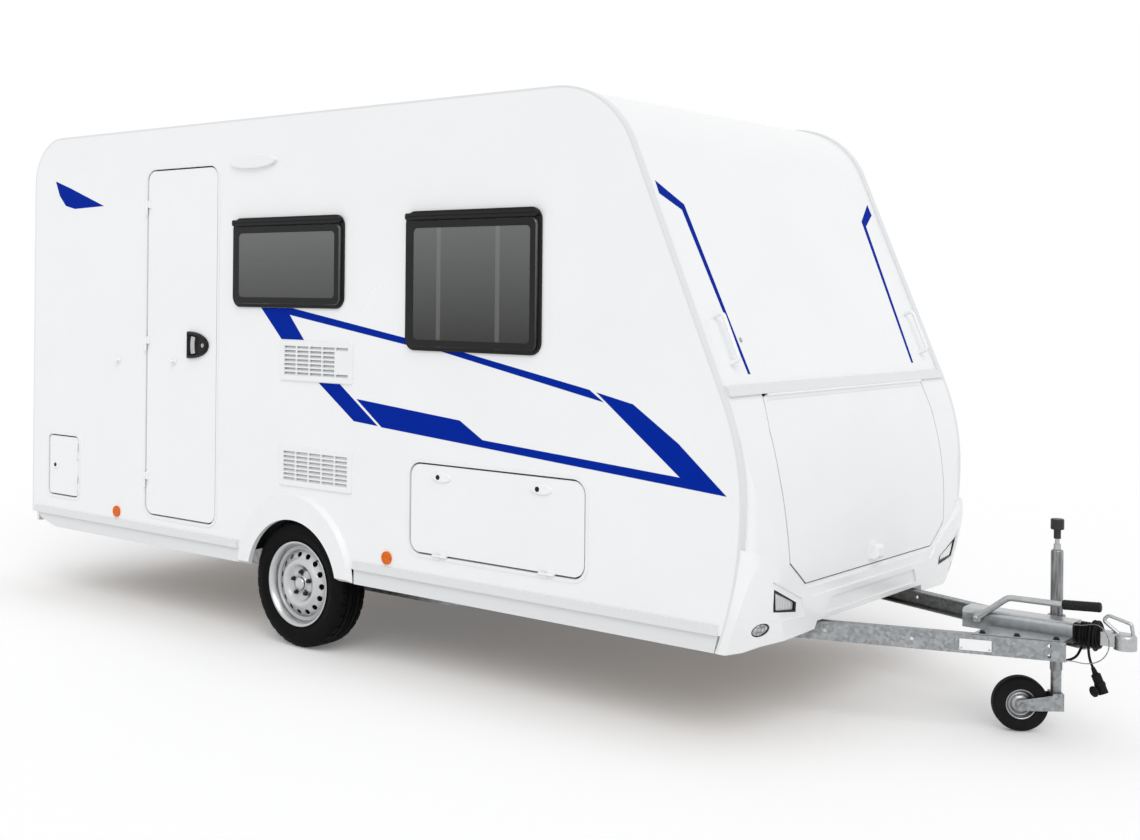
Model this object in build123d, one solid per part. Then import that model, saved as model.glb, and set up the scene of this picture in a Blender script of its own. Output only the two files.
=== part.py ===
from build123d import *
from math import atan2, cos, degrees, radians, sin, sqrt, tan
import os

# Travel caravan in millimetres. It is drawn with X forward from the axle, Y to the left
# and Z up from the ground, and moved at the end so that the box is centred on the origin.

# Shell
HALF_W = 1036.0
WALL = 30.0
TRIM = 10.0
TRIM_W = 36.0
ROOF_Z = 2607.0
REAR_X = -2262.0
SILL_Z = 440.0
FLOOR_T = 35.0
SKIRT_Z = 370.0
REAR_R = 260.0
ROOF_R = 420.0
ROOF_END_X = 1580.0
NOSE_X = 2480.0
NOSE_Z = 930.0
NOSE_R = 1050.0
CHIN_R = 1600.0
SPLIT_Z = ROOF_Z - 270.0
SEAM = 0.5
FAR = 6000.0
RIGHT = -HALF_W

# Front lower moulding, locker lid and bumper
CAP_TOP = 1354.0
CAP_R = 1747.0
CAP_X = 2522.0
CAP_Z = 700.0
CAP_T = 25.0
CAP_CORNER_X = 2490.0
CAP_BACK_X = 2330.0
CAP_HALF = HALF_W - TRIM_W
FLAT_Y = HALF_W - 436.0
PLAN_R = 900.0
PLAN_AHEAD = 40.0
BUMPER_OUT = 18.0
LEDGE_OUT = 8.0
BUMPER_CORNER_X = 2490.0
CHIN_OUT = 33.0
CHIN_SWEEP = 0.33
LID_GAP = 7.0
LID_TOP = 1340.0
RAIL_H = 38.0
RAIL_OUT = 16.0
BULKHEAD_X = 1990.0
BULKHEAD_T = 18.0
SHELF_Z = 1395.0
RECESS = 8.0
LENS_IN = 16.0
LID_LATCH = (74.0, 60.0, 650.0)
LID_LATCH_OUT = 38.0
# columns: distance in from the side, z
LID_OUTLINE = (
    (296.0, LID_TOP),
    (272.0, 1212.0),
    (274.0, 1031.0),
    (287.0, 853.0),
    (306.0, 695.0),
    (440.0, 598.0),
)
BUMPER_TOP = (
    (-64.0, 790.0),
    (16.0, 775.0),
    (92.0, 754.0),
    (177.0, 717.0),
    (271.0, 674.0),
    (338.0, 636.0),
    (410.0, 587.0),
    (462.0, 540.0),
)
LEDGE = ((330.0, 500.0), (330.0, 636.0), (448.0, 578.0))
BUMPER_FOOT = (
    (-64.0, 360.0),
    (83.0, SKIRT_Z),
    (160.0, 384.0),
    (270.0, 394.0),
    (523.0, 399.0),
    (536.0, 431.0),
)
CENTRE_PANEL = ((597.0, 453.0), (635.0, 517.0))
LAMP = ((161.0, 615.0), (350.0, 535.0), (354.0, 496.0), (187.0, 519.0))
LAMP_SCOOP = ((150.0, 645.0), (387.0, 545.0), (414.0, 468.0), (182.0, 485.0))
LOW_LAMP_IN = 138.0
LOW_LAMP_SUNK = 4.0
LOW_LAMP_Z = 454.0
LOW_LAMP_W = 88.0
LOW_LAMP_H = 54.0

# Doors in the right wall: columns x0, x1, z0, z1
DOOR = (-1177.0, -604.0, 540.0, ROOF_Z - 232.0)
FLAP = (776.0, 1747.0, 572.0, 968.0)
HATCH = (-2086.0, -1809.0, 564.0, 896.0)
DOOR_HINGES_Z = (720.0, 1450.0, DOOR[3] - 195.0)
HATCH_HINGES_Z = (640.0, 820.0)
FLAP_HINGES_X = (960.0, 1560.0)
DOOR_T = 26.0
DOOR_GAP = 8.0
DOOR_EDGE = 15.0
CORNER = 55.0
HATCH_CORNER = 22.0
PIN_OUT = 12.0
PIN_R = 6.0
PIN_SIDE = 3.5
LEAF_T = 4.0
LEAF_W = 18.0
LEAF_REACH = 26.0
KNUCKLE = 40.0
PROUD = 4.0
HANDLE = (-830.0, -660.0, 1383.0, 1526.0)
HANDLE_OUT = 20.0
LATCH_W = 112.0
LATCH_H = 46.0
LATCH_OUT = 9.0
# columns: x, z
FLAP_LATCHES = ((962.0, 918.0), (1524.0, 918.0))
HATCH_LATCH = (-2020.0, 730.0)
HATCH_LATCH_SIZE = 44.0

# Windows, vents and small pieces on the walls: columns x0, x1, z0, z1
# Each row's middle lies at its share of the wall's height, so that a lower roof keeps them apart;
# the lower vent stands a fixed distance above the wheel arch
WALL_H = ROOF_Z - SILL_Z
SMALL_WINDOW_H = 447.0
SMALL_WINDOW_Z = SILL_Z + 0.6652 * WALL_H - SMALL_WINDOW_H / 2
LARGE_WINDOW_H = 628.0
LARGE_WINDOW_Z = SILL_Z + 0.6239 * WALL_H - LARGE_WINDOW_H / 2
VENT_H = 196.0
ARCH_TOP = 759.0
VENT_ABOVE_ARCH = 32.4358
LOWER_VENT_Z = ARCH_TOP + VENT_ABOVE_ARCH
UPPER_VENT_Z = SILL_Z + 0.4444 * WALL_H - VENT_H / 2
AWNING_LIGHT_Z = SILL_Z + 0.8987 * WALL_H
WINDOWS = (
    (-466.0, 333.0, SMALL_WINDOW_Z, SMALL_WINDOW_Z + SMALL_WINDOW_H),
    (736.0, 1516.0, LARGE_WINDOW_Z, LARGE_WINDOW_Z + LARGE_WINDOW_H),
)
FRAME_W = 34.0
FRAME_OUT = 10.0
PANE_OUT = 14.0
PANE_R = 30.0
HINGE_STRIP_H = 40.0
HINGE_STRIP_OUT = 18.0
# columns: x0, x1, z0, z1, slot columns that run the full height
VENTS = (
    (-102.0, 397.0, LOWER_VENT_Z, LOWER_VENT_Z + VENT_H, 5),
    (-102.0, 397.0, UPPER_VENT_Z, UPPER_VENT_Z + VENT_H, 4),
)
VENT_EDGE = 24.0
VENT_ROWS = 7
VENT_COLUMNS = 5
VENT_BAR = 7.0
AWNING_LIGHT_X = -316.0
AWNING_LIGHT_W = 344.0
AWNING_LIGHT_H = 72.0
AWNING_LIGHT_OUT = 22.0
REFLECTORS_X = (-1437.0, 628.0)
REFLECTOR_Z = 520.0
REFLECTOR_R = 30.0
REFLECTOR_OUT = 8.0
RAIL_T = 14.0
SKIRT_IN = 2.0
SKIRT_T = 12.0

# Wheels and arches
WHEEL_R = 311.0
TYRE_W = 185.0
TYRE_IN = 16.0
RIM_R = 207.0
BEAD_R = 196.0
BARREL_R = 188.0
RIM_IN = 4.0
DISH = 50.0
HOLE_RING_R = 152.0
HOLE_R = 13.0
HOLES = 15
HUB_CAP_R = 32.0
DRUM_R = 118.0
ARCH_R = 346.0
LIP_R = 318.0
ARCH_OUT = 26.0
ARCH_FOOT = (405.0, 373.0)
BOX_Y = 266.0 - HALF_W
BOX_T = 6.0
STUB_R = 20.0
RUN_GAP = 0.3

# Chassis and drawbar
RAIL_Y = HALF_W - 394.0
FLANGE = 45.0
STEEL = 5.0
BEND_X = 2036.0
BEAM_Y = HALF_W - 416.0
BEAM_END = (3386.0, 150.0)
BEAM_TOP = 420.0
BEAM_LOW = 345.0
AXLE_X = 165.0
AXLE_Z = 330.0
AXLE_SIZE = 80.0
ARM_OUT = 48.0
ARM_T = 30.0
CROSS_X = (-1900.0, -900.0, 1300.0)
CROSS_W = 50.0
CROSS_LOW = 380.0
# columns: x of the pivot, x of the foot, distance out from the rail
STEADIES = ((-1690.0, -2090.0, 58.0), (1560.0, 1960.0, 118.0))
STEADY_W = 50.0
STEADY_H = 45.0
STEADY_PLATE = 100.0
# columns: distance along the beam, height above its foot
BEAM_HOLES = ((520.0, 38.0), (860.0, 38.0), (1150.0, 20.0), (1370.0, 18.0), (1370.0, 57.0))
BEAM_HOLE_R = 7.0
TIP_X = 3600.0
SHAFT_Z = 432.0
SHAFT_R = 25.0
HOUSING = (2940.0, 3378.0)
HOUSING_Y = 58.0
HOUSING_LOW = 400.0
HOUSING_TOP = 478.0
HOUSING_T = 6.0
PLATE_X = 3060.0
PLATE_LAP = 8.0
HEAD_R = 42.0
HEAD_X = TIP_X - HEAD_R
HEAD_LOW = 396.0
HEAD_H = 60.0
HEAD_Y = 28.0
BALL_R = 25.3
BALL_DEPTH = 40.0
BELLOWS_R = 38.0
BELLOWS_L = 94.0
BELLOWS_FOLDS = 5
LEVER = ((3535, 0, 452), (3474, 0, 498), (3496, 0, 518), (3580, 0, 496), (3588, 0, 448))
LEVER_BENDS = (12.0, 14.0, 12.0)
LEVER_R = 7.0
BRAKE = ((3002, -70, 445), (3134, -70, 545), (3343, -68, 548), (3482, -60, 556))
BRAKE_BENDS = (50.0, 300.0)
BRAKE_R = 9.0
BRAKE_GRIP_R = 14.0
BRAKE_GRIP_L = 136.0

# Nose wheel
LEG_X = 3263.0
LEG_Y = 102.0
LEG_R = 24.0
LEG_WALL = 3.0
LEG_LOW = 250.0
LEG_TOP = 732.0
CLAMP = (428.0, 470.0)
CLAMP_WALL = 10.0
CRANK_R = 9.0
KNOB_R = 26.0
KNOB = (812.0, 855.0)
NECK_R = 14.0
NECK_Z = 776.0
NOSE_WHEEL_R = 110.0
NOSE_WHEEL_W = 60.0
NOSE_RIM_R = 62.0
NOSE_AXLE_R = 8.0
TRAIL = 140.0
SWIVEL = 34.0
FORK_Y = 40.0
FORK_T = 4.0
FORK_X = 22.0
FORK_TOP = 160.0
FORK_LOW = 92.0

# Cords
LEAD_R = 5.0
COIL_R = 58.0
CABLE_R = 2.0
CLIP_X = 3236.0
CLIP_Y = -100.0
CLIP_Z = 352.0
CLIP_W = 20.0

# Rear, handles and roof
GRIP_OUT = 47.0
GRIP_L = 200.0
GRIP_R = 9.0
GRIP_BEND = 18.0
FRONT_GRIP_IN = 156.0
FRONT_GRIP_Z = 1470.0
REAR_GRIP_IN = 186.0
REAR_GRIP_Z = 1150.0
REAR_LAMP = (51.0, 151.0, 580.0, 980.0)
REAR_LAMP_OUT = 32.0
LENS_GROOVE = 3.0
REAR_PANEL = (380.0, 560.0)
REAR_PANEL_T = 30.0
PLATE_RECESS = (260.0, 410.0, 522.0)
ROOF_LIGHT = (-300.0, 260.0, 280.0)
ROOF_LIGHT_H = 60.0
REAR_REACH = GRIP_OUT + GRIP_R - TRIM
X_MID = (TIP_X + REAR_X - REAR_REACH) / 2

# Slope of the front panel, tangent to the roof's and the nose's arcs
SLOPE_X = ROOF_END_X - (NOSE_X - NOSE_R)
SLOPE_Z = ROOF_Z - ROOF_R - NOSE_Z
SLOPE_DROP = NOSE_R - ROOF_R
SLOPE_L = sqrt(SLOPE_X ** 2 + SLOPE_Z ** 2 - SLOPE_DROP ** 2)
SLOPE = degrees(atan2(SLOPE_Z, SLOPE_X) - atan2(SLOPE_L, SLOPE_DROP))


def block(x0, x1, y0, y1, z0, z1):
    middle = ((x0 + x1) / 2, (y0 + y1) / 2, (z0 + z1) / 2)
    return Pos(*middle) * Box(x1 - x0, y1 - y0, z1 - z0)


def slab(x0, x1, z0, z1):
    return block(x0, x1, -FAR, FAR, z0, z1)


def both(piece):
    return Compound(children=[piece, mirror(piece, about=Plane.XZ)])


def pull(face, y0, y1):
    return extrude(Pos(0, y0, 0) * face, amount=y1 - y0, dir=(0, 1, 0))


def rise(face, z0, z1):
    return extrude(Pos(0, 0, z0) * face, amount=z1 - z0, dir=(0, 0, 1))


def side_shape(points):
    return make_face(Polyline([(x, 0, z) for x, z in points], close=True))


# A prism along X from points in the front view, each given as its distance in from the side
def front_prism(points, side=0):
    near = [(HALF_W - inward, z) for inward, z in points]
    if side == 0:
        near += [(-y, z) for y, z in reversed(near)]
        side = 1
    face = make_face(Polyline([(0, side * y, z) for y, z in near], close=True))
    return extrude(face, amount=FAR, dir=(1, 0, 0))


def panel(x0, x1, z0, z1, radius):
    centre = Pos((x0 + x1) / 2, (z0 + z1) / 2, 0)
    return Plane.XZ * centre * RectangleRounded(x1 - x0, z1 - z0, radius)


def grown(box, by):
    return (box[0] - by, box[1] + by, box[2] - by, box[3] + by)


def ring_of(box, outer, inner, radius, y0, y1):
    big = pull(panel(*grown(box, outer), radius + outer), y0, y1)
    return big - pull(panel(*grown(box, inner), radius + inner), y0 - 1, y1 + 1)


def hole(box, inward, radius):
    return pull(panel(*grown(box, -inward), radius), RIGHT - 1, RIGHT + WALL + 1)


# A plate on the right wall with its outer edges rounded off
def button(face, out, edge):
    solid = pull(face, RIGHT - out, RIGHT)
    return fillet(solid.faces().sort_by(Axis.Y)[0].edges(), edge)


def disc(x, z, radius, y0, y1):
    return Pos(x, (y0 + y1) / 2, z) * Rot(90, 0, 0) * Cylinder(radius, y1 - y0)


def post(x, y, radius, z0, z1):
    return Pos(x, y, (z0 + z1) / 2) * Cylinder(radius, z1 - z0)


def bar(z, radius, x0, x1, y=0.0):
    return Pos((x0 + x1) / 2, y, z) * Rot(0, 90, 0) * Cylinder(radius, x1 - x0)


def on_arc(cx, cz, radius, angle):
    return (cx + radius * cos(radians(angle)), 0, cz + radius * sin(radians(angle)))


def arc(cx, cz, radius, a0, a1):
    ends = [on_arc(cx, cz, radius, angle) for angle in (a0, (a0 + a1) / 2, a1)]
    return ThreePointArc(*ends)


# The section of the shell, with everything moved in by one distance
def outline(inset, z_low):
    rear = arc(REAR_X + REAR_R, ROOF_Z - REAR_R, REAR_R - inset, 180, 90)
    top = arc(ROOF_END_X, ROOF_Z - ROOF_R, ROOF_R - inset, 90, SLOPE)
    nose = arc(NOSE_X - NOSE_R, NOSE_Z, NOSE_R - inset, SLOPE, 0)
    chin_r = CHIN_R - inset
    drop = degrees(atan2(NOSE_Z - z_low, sqrt(chin_r ** 2 - (NOSE_Z - z_low) ** 2)))
    chin = arc(NOSE_X - CHIN_R, NOSE_Z, chin_r, 0, -drop)
    foot = (REAR_X + inset, 0, z_low)
    lines = [Line(foot, rear @ 0), rear, Line(rear @ 1, top @ 0), top]
    lines += [Line(top @ 1, nose @ 0), nose, chin, Line(chin @ 1, foot)]
    return make_face(lines)


def tube_along(points, radii, radius):
    path = FilletPolyline(*points, radius=radii)
    start = Plane(origin=path @ 0, z_dir=path % 0)
    return sweep(start * Circle(radius), path=path)


def bend_radii(points):
    radii = []
    for before, here, after in zip(points, points[1:], points[2:]):
        first = Vector(*here) - Vector(*before)
        second = Vector(*after) - Vector(*here)
        turn = radians(first.get_angle(second))
        radii.append(0.45 * min(first.length, second.length) / tan(turn / 2))
    return radii


# Shell panels
skin = outline(TRIM, SILL_Z)
core = outline(TRIM + WALL, SILL_Z - WALL)
band = pull(skin - core, -HALF_W + WALL, HALF_W - WALL)
roof = band & slab(-FAR, FAR, SPLIT_Z, FAR)
rear_wall = band & slab(-FAR, 0, 0, SPLIT_Z)
front_upper = band & slab(0, FAR, CAP_TOP, SPLIT_Z)
trim_ring = outline(0, SKIRT_Z + SEAM) - outline(TRIM, SKIRT_Z - WALL)
trim = pull(trim_ring, RIGHT, RIGHT + TRIM_W)
trim -= slab(-FAR, 0, 0, SILL_Z)
edge_trims = both(trim)

# Walls with their openings
wall = pull(skin, RIGHT, RIGHT + WALL)
wall -= disc(0, WHEEL_R, ARCH_R, RIGHT - 1, RIGHT + WALL + 1)
for box in WINDOWS:
    wall -= hole(box, FRAME_W - DOOR_GAP, PANE_R - DOOR_GAP)
left_wall = mirror(wall, about=Plane.XZ)
right_wall = wall
for x0, x1, z0, z1, full in VENTS:
    right_wall -= hole((x0, x1, z0, z1), VENT_EDGE - VENT_BAR / 2, VENT_BAR)
for box, corner in ((DOOR, CORNER), (FLAP, CORNER), (HATCH, HATCH_CORNER)):
    reach = DOOR_GAP + DOOR_EDGE
    right_wall -= hole(box, -reach, corner + reach)


# Frames, doors and their hinge knuckles
def door_set(box, corner):
    frame = ring_of(box, DOOR_GAP + DOOR_EDGE, DOOR_GAP, corner, RIGHT - PROUD, RIGHT + WALL)
    return frame, pull(panel(*box, corner), RIGHT, RIGHT + DOOR_T)


door_frame, entrance_door = door_set(DOOR, CORNER)
locker_frame, locker_flap = door_set(FLAP, CORNER)
hatch_frame, service_hatch = door_set(HATCH, HATCH_CORNER)
PIN_Y = RIGHT - PIN_OUT
FRAME_LEAF = (RIGHT - PROUD - LEAF_T, RIGHT - PROUD)
DOOR_LEAF = (RIGHT - PROUD - LEAF_T, RIGHT)
pin_x = DOOR[0] - PIN_SIDE
for z in DOOR_HINGES_Z:
    door_frame += post(pin_x, PIN_Y, PIN_R, z - KNUCKLE, z)
    door_frame += block(pin_x - LEAF_W, pin_x, *FRAME_LEAF, z - KNUCKLE, z)
    entrance_door += post(pin_x, PIN_Y, PIN_R, z + RUN_GAP, z + KNUCKLE)
    entrance_door += block(pin_x, pin_x + LEAF_REACH, *DOOR_LEAF, z + RUN_GAP, z + KNUCKLE)
pin_x = HATCH[1] + PIN_SIDE
for z in HATCH_HINGES_Z:
    hatch_frame += post(pin_x, PIN_Y, PIN_R, z - KNUCKLE, z)
    hatch_frame += block(pin_x, pin_x + LEAF_W, *FRAME_LEAF, z - KNUCKLE, z)
    service_hatch += post(pin_x, PIN_Y, PIN_R, z + RUN_GAP, z + KNUCKLE)
    service_hatch += block(pin_x - LEAF_REACH, pin_x, *DOOR_LEAF, z + RUN_GAP, z + KNUCKLE)
pin_z = FLAP[2] - PIN_SIDE
for x in FLAP_HINGES_X:
    locker_frame += bar(pin_z, PIN_R, x - KNUCKLE, x, PIN_Y)
    locker_frame += block(x - KNUCKLE, x, *FRAME_LEAF, pin_z - LEAF_W, pin_z)
    locker_flap += bar(pin_z, PIN_R, x + RUN_GAP, x + KNUCKLE, PIN_Y)
    locker_flap += block(x + RUN_GAP, x + KNUCKLE, *DOOR_LEAF, pin_z, pin_z + LEAF_REACH)
for x, z in FLAP_LATCHES:
    oval = Plane.XZ * Pos(x, z, 0) * Ellipse(LATCH_W / 2, LATCH_H / 2)
    locker_flap += button(oval, LATCH_OUT, LATCH_OUT / 2)
latch_box = grown((HATCH_LATCH[0], HATCH_LATCH[0], HATCH_LATCH[1], HATCH_LATCH[1]), HATCH_LATCH_SIZE / 2)
service_hatch += button(panel(*latch_box, LATCH_OUT), LATCH_OUT, LATCH_OUT / 2)
door_handle = button(panel(*HANDLE, CORNER), HANDLE_OUT, HANDLE_OUT / 2)

# Windows: a frame let into the wall, a hinge strip along its top and a bulged pane
window_frames = []
window_panes = []
for x0, x1, z0, z1 in WINDOWS:
    inner = grown((x0, x1, z0, z1), -FRAME_W)
    frame = ring_of(inner, FRAME_W, 0, PANE_R - DOOR_GAP, RIGHT - FRAME_OUT, RIGHT)
    frame += ring_of(inner, DOOR_GAP, 0, PANE_R - DOOR_GAP - DOOR_GAP, RIGHT - 1, RIGHT + WALL)
    strip = (x0 + FRAME_OUT, x1 - FRAME_OUT, z1 - HINGE_STRIP_H, z1 - FRAME_OUT)
    strip_face = panel(*strip, FRAME_OUT)
    frame += pull(strip_face, RIGHT - FRAME_OUT - HINGE_STRIP_OUT, RIGHT - FRAME_OUT)
    pane_top = z1 - HINGE_STRIP_H - PROUD
    pane_face = panel(x0 + FRAME_W / 2, x1 - FRAME_W / 2, z0 + FRAME_W / 2, pane_top, PANE_R)
    pane = pull(pane_face, RIGHT - FRAME_OUT - PANE_OUT, RIGHT - FRAME_OUT)
    pane = fillet(pane.faces().sort_by(Axis.Y)[0].edges(), PANE_OUT - PROUD)
    window_frames += [frame, mirror(frame, about=Plane.XZ)]
    window_panes += [pane, mirror(pane, about=Plane.XZ)]

# Vents with rows of slots; one has a closed panel in its last column
vents = []
for x0, x1, z0, z1, full in VENTS:
    vent = button(panel(x0, x1, z0, z1, VENT_BAR), FRAME_OUT, FRAME_OUT / 4)
    pitch_x = (x1 - x0 - 2 * VENT_EDGE) / VENT_COLUMNS
    pitch_z = (z1 - z0 - 2 * VENT_EDGE) / VENT_ROWS
    for column in range(VENT_COLUMNS):
        left = x0 + VENT_EDGE + column * pitch_x
        for row in range(VENT_ROWS):
            low = z0 + VENT_EDGE + row * pitch_z
            if column < full or row in (0, VENT_ROWS - 1):
                slot_x = (left + VENT_BAR / 2, left + pitch_x - VENT_BAR / 2)
                slot_y = (RIGHT - FRAME_OUT - 1, RIGHT + 1)
                vent -= block(*slot_x, *slot_y, low + VENT_BAR / 2, low + pitch_z - VENT_BAR / 2)
    vents.append(vent)
light_place = Plane.XZ * Pos(AWNING_LIGHT_X, AWNING_LIGHT_Z, 0)
light_face = light_place * Ellipse(AWNING_LIGHT_W / 2, AWNING_LIGHT_H / 2)
awning_light = button(light_face, AWNING_LIGHT_OUT, AWNING_LIGHT_OUT / 4)
reflectors = [disc(x, REFLECTOR_Z, REFLECTOR_R, RIGHT - REFLECTOR_OUT, RIGHT) for x in REFLECTORS_X]
reflectors += [mirror(piece, about=Plane.XZ) for piece in reflectors]

# Low side pieces
rail_z = (SILL_Z + SKIRT_IN, SILL_Z + RAIL_H + SKIRT_IN)
fore_end = NOSE_X - 97.0
back_end = REAR_X + TRIM_W + BOX_T
foot_x, foot_z = ARCH_FOOT
rail_back = block(back_end, -foot_x - TRIM, RIGHT - RAIL_T, RIGHT, *rail_z)
rail_fore = block(foot_x + TRIM, fore_end, RIGHT - RAIL_T, RIGHT, *rail_z)
lower_rails = Compound(children=[both(rail_back), both(rail_fore)])
back_points = ((back_end, SILL_Z), (back_end + 53, SILL_Z - 32), (back_end + 190, SKIRT_Z))
back_points += ((-foot_x - PROUD, SKIRT_Z), (-foot_x - PROUD, SILL_Z))
fore_points = ((foot_x + PROUD, SKIRT_Z), (fore_end - 21, SKIRT_Z))
fore_points += ((fore_end - 3, SILL_Z), (foot_x + PROUD, SILL_Z))
skirt_y = (RIGHT + SKIRT_IN, RIGHT + SKIRT_IN + SKIRT_T)
skirt_back = pull(side_shape(back_points), *skirt_y)
skirt_fore = pull(side_shape(fore_points), *skirt_y)
skirts = Compound(children=[both(skirt_back), both(skirt_fore)])
arch_arc = ThreePointArc((-foot_x, 0, foot_z), (0, 0, ARCH_TOP), (foot_x, 0, foot_z))
arch_face = make_face([arch_arc, Line((foot_x, 0, foot_z), (-foot_x, 0, foot_z))])
arch = extrude(Pos(0, RIGHT, 0) * arch_face, amount=ARCH_OUT, dir=(0, -1, 0), taper=30)
arch -= disc(0, WHEEL_R, LIP_R, RIGHT - ARCH_OUT - 1, RIGHT + 1)
arch_trims = both(arch)
wheel_box = disc(0, WHEEL_R, ARCH_R + BOX_T, RIGHT + WALL, BOX_Y + BOX_T)
wheel_box -= disc(0, WHEEL_R, ARCH_R, RIGHT + WALL - 1, BOX_Y)
wheel_box &= block(-FAR, FAR, -FAR, 0, SILL_Z, FAR)
wheel_boxes = both(wheel_box)

# Front lower moulding: a bulged section cut to a rounded plan
cap_centre = CAP_X - CAP_R


def cap_x(z, out=0.0):
    return cap_centre + sqrt((CAP_R + out) ** 2 - (z - CAP_Z) ** 2)


def bulge(out, half, corner_x, round_r):
    start = (cap_x(SKIRT_Z, out), 0, SKIRT_Z)
    stop = (cap_x(CAP_TOP, out), 0, CAP_TOP)
    front = ThreePointArc(start, (cap_x(CAP_Z, out), 0, CAP_Z), stop)
    back = Polyline(stop, (BEND_X, 0, CAP_TOP), (BEND_X, 0, SKIRT_Z), start)
    body = pull(make_face([front, back]), -half, half)
    corner = corner_x + out
    face = CAP_X + out + PLAN_AHEAD
    points = [(BEND_X - 1, -half), (corner, -half), (face, -FLAT_Y)]
    points += [(x, -y) for x, y in reversed(points)]
    plan = FilletPolyline(*points, radius=[round_r, PLAN_R, PLAN_R, round_r])
    plan_face = make_face([plan, Line(points[-1], points[0])])
    return body & rise(plan_face, SKIRT_Z - 1, CAP_TOP + 1)


# The bumper's corners follow the side outline down and back, and sweep forward from it towards the middle
def swept_back(out):
    edge = outline(BUMPER_OUT - CHIN_OUT - out, SKIRT_Z - WALL)
    beyond = HALF_W + WALL
    start = Pos(-CHIN_SWEEP * WALL, -beyond, 0) * edge
    right = extrude(start, amount=2 * beyond * sqrt(1 + CHIN_SWEEP ** 2), dir=(CHIN_SWEEP, 1, 0))
    return right & mirror(right, about=Plane.XZ)


def bumper_form(out):
    return bulge(out, HALF_W - BUMPER_OUT + out, BUMPER_CORNER_X, 90) & swept_back(out)


cap = bulge(0, CAP_HALF, CAP_CORNER_X, 60) - bulge(-CAP_T, CAP_HALF - CAP_T, CAP_CORNER_X, 40)
cap &= slab(CAP_BACK_X, FAR, SILL_Z, CAP_TOP)
body_solid = pull(outline(0, SKIRT_Z - WALL), -FAR, FAR)
lid_prism = front_prism(LID_OUTLINE)
hole_points = [(LID_OUTLINE[0][0] - LID_GAP, z) for z in (CAP_TOP + WALL, LID_TOP)]
hole_points += [(inward - LID_GAP, z - 0.7 * LID_GAP) for inward, z in LID_OUTLINE[1:]]
hole_prism = front_prism(hole_points)
ground = [(BUMPER_TOP[0][0], 0.0)]
bumper_prism = front_prism(ground + list(BUMPER_TOP))
ledge_prism = front_prism(LEDGE)
locker_lid = cap & lid_prism
front_lower = cap - hole_prism - bumper_prism - ledge_prism
bumper = bumper_form(BUMPER_OUT) & bumper_prism
bumper += bumper_form(LEDGE_OUT) & ledge_prism
bumper -= bulge(-CAP_T, HALF_W - WALL - TRIM, BUMPER_CORNER_X, 60) & swept_back(-CAP_T)
bumper -= body_solid
bumper -= front_prism(ground + list(BUMPER_FOOT))
recessed = bumper_form(BUMPER_OUT - RECESS)
bumper -= front_prism(CENTRE_PANEL) - recessed

# Lamps let into the bumper
front_lamps = []
low_lamps = []
lens_form = bumper_form(BUMPER_OUT - LENS_IN)
low_form = bumper_form(BUMPER_OUT - LOW_LAMP_SUNK)
for side in (-1, 1):
    bumper -= front_prism(LAMP_SCOOP, side) - recessed
    pocket = front_prism(LAMP, side)
    front_lamps.append(bumper & pocket & lens_form)
    bumper -= pocket
    seat = Plane((CAP_BACK_X, side * (HALF_W - LOW_LAMP_IN), LOW_LAMP_Z), x_dir=(0, 1, 0), z_dir=(1, 0, 0))
    well = extrude(seat * Ellipse(LOW_LAMP_W / 2, LOW_LAMP_H / 2), amount=TIP_X - CAP_BACK_X)
    low_lamps.append(bumper & well & low_form)
    bumper -= well

# Lid hinge rod under the front rail, and the lid's latch
lid_pin_x = cap_x(LID_TOP) + DOOR_GAP
lid_pin_z = LID_TOP + PIN_R
rod_l = 2 * (HALF_W - LID_OUTLINE[0][0] - WALL + TRIM)
cap_inside = bulge(-CAP_T / 5, CAP_HALF, CAP_CORNER_X, 60)
locker_lid += Pos(lid_pin_x, 0, lid_pin_z) * Rot(90, 0, 0) * Cylinder(PIN_R, rod_l)
leaf = block(lid_pin_x - LEAF_W, lid_pin_x, -rod_l / 2, rod_l / 2, LID_TOP - 2 * LID_GAP, lid_pin_z)
locker_lid += leaf - cap_inside
latch_w, latch_h, latch_z = LID_LATCH
latch_x = cap_x(latch_z)
lid_latch = Pos(latch_x, 0, latch_z) * Box(2 * LID_LATCH_OUT, latch_w, latch_h)
lid_latch = chamfer(lid_latch.faces().sort_by(Axis.X)[-1].edges(), LID_LATCH_OUT / 3)
locker_lid += lid_latch - cap_inside
rail_band = outline(-RAIL_OUT, SILL_Z) - outline(TRIM, SILL_Z - WALL)
rail_low = lid_pin_z + PIN_R + RUN_GAP
front_rail = pull(rail_band, -CAP_HALF, CAP_HALF) & slab(0, FAR, rail_low, rail_low + RAIL_H)
front_rail -= cap

# Locker bulkhead and shelf behind the lid
inside = pull(outline(TRIM + WALL + SEAM, SILL_Z), RIGHT + WALL + SEAM, -RIGHT - WALL - SEAM)
bulkhead = slab(BULKHEAD_X, BULKHEAD_X + BULKHEAD_T, SILL_Z + FLOOR_T, SHELF_Z)
bulkhead += slab(BULKHEAD_X, FAR, SHELF_Z - BULKHEAD_T, SHELF_Z)
locker_bulkhead = bulkhead & inside

# Floor, cut out for the wheels
floor_slab = slab(-FAR, FAR, SILL_Z, SILL_Z + FLOOR_T)
floor = inside & floor_slab
tray = bulge(-CAP_T - SEAM, CAP_HALF - CAP_T - SEAM, CAP_CORNER_X, 40) & swept_back(-CAP_T - SEAM)
floor += tray & floor_slab & slab(CAP_BACK_X - WALL, FAR, 0, FAR)
gap_x = sqrt((ARCH_R + BOX_T) ** 2 - (SILL_Z - WHEEL_R) ** 2) + SEAM
gap_y = -BOX_Y - BOX_T - SEAM
for side in (-1, 1):
    floor -= Pos(0, side * (gap_y + HALF_W), SILL_Z) * Box(2 * gap_x, 2 * HALF_W, 4 * FLOOR_T)

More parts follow.
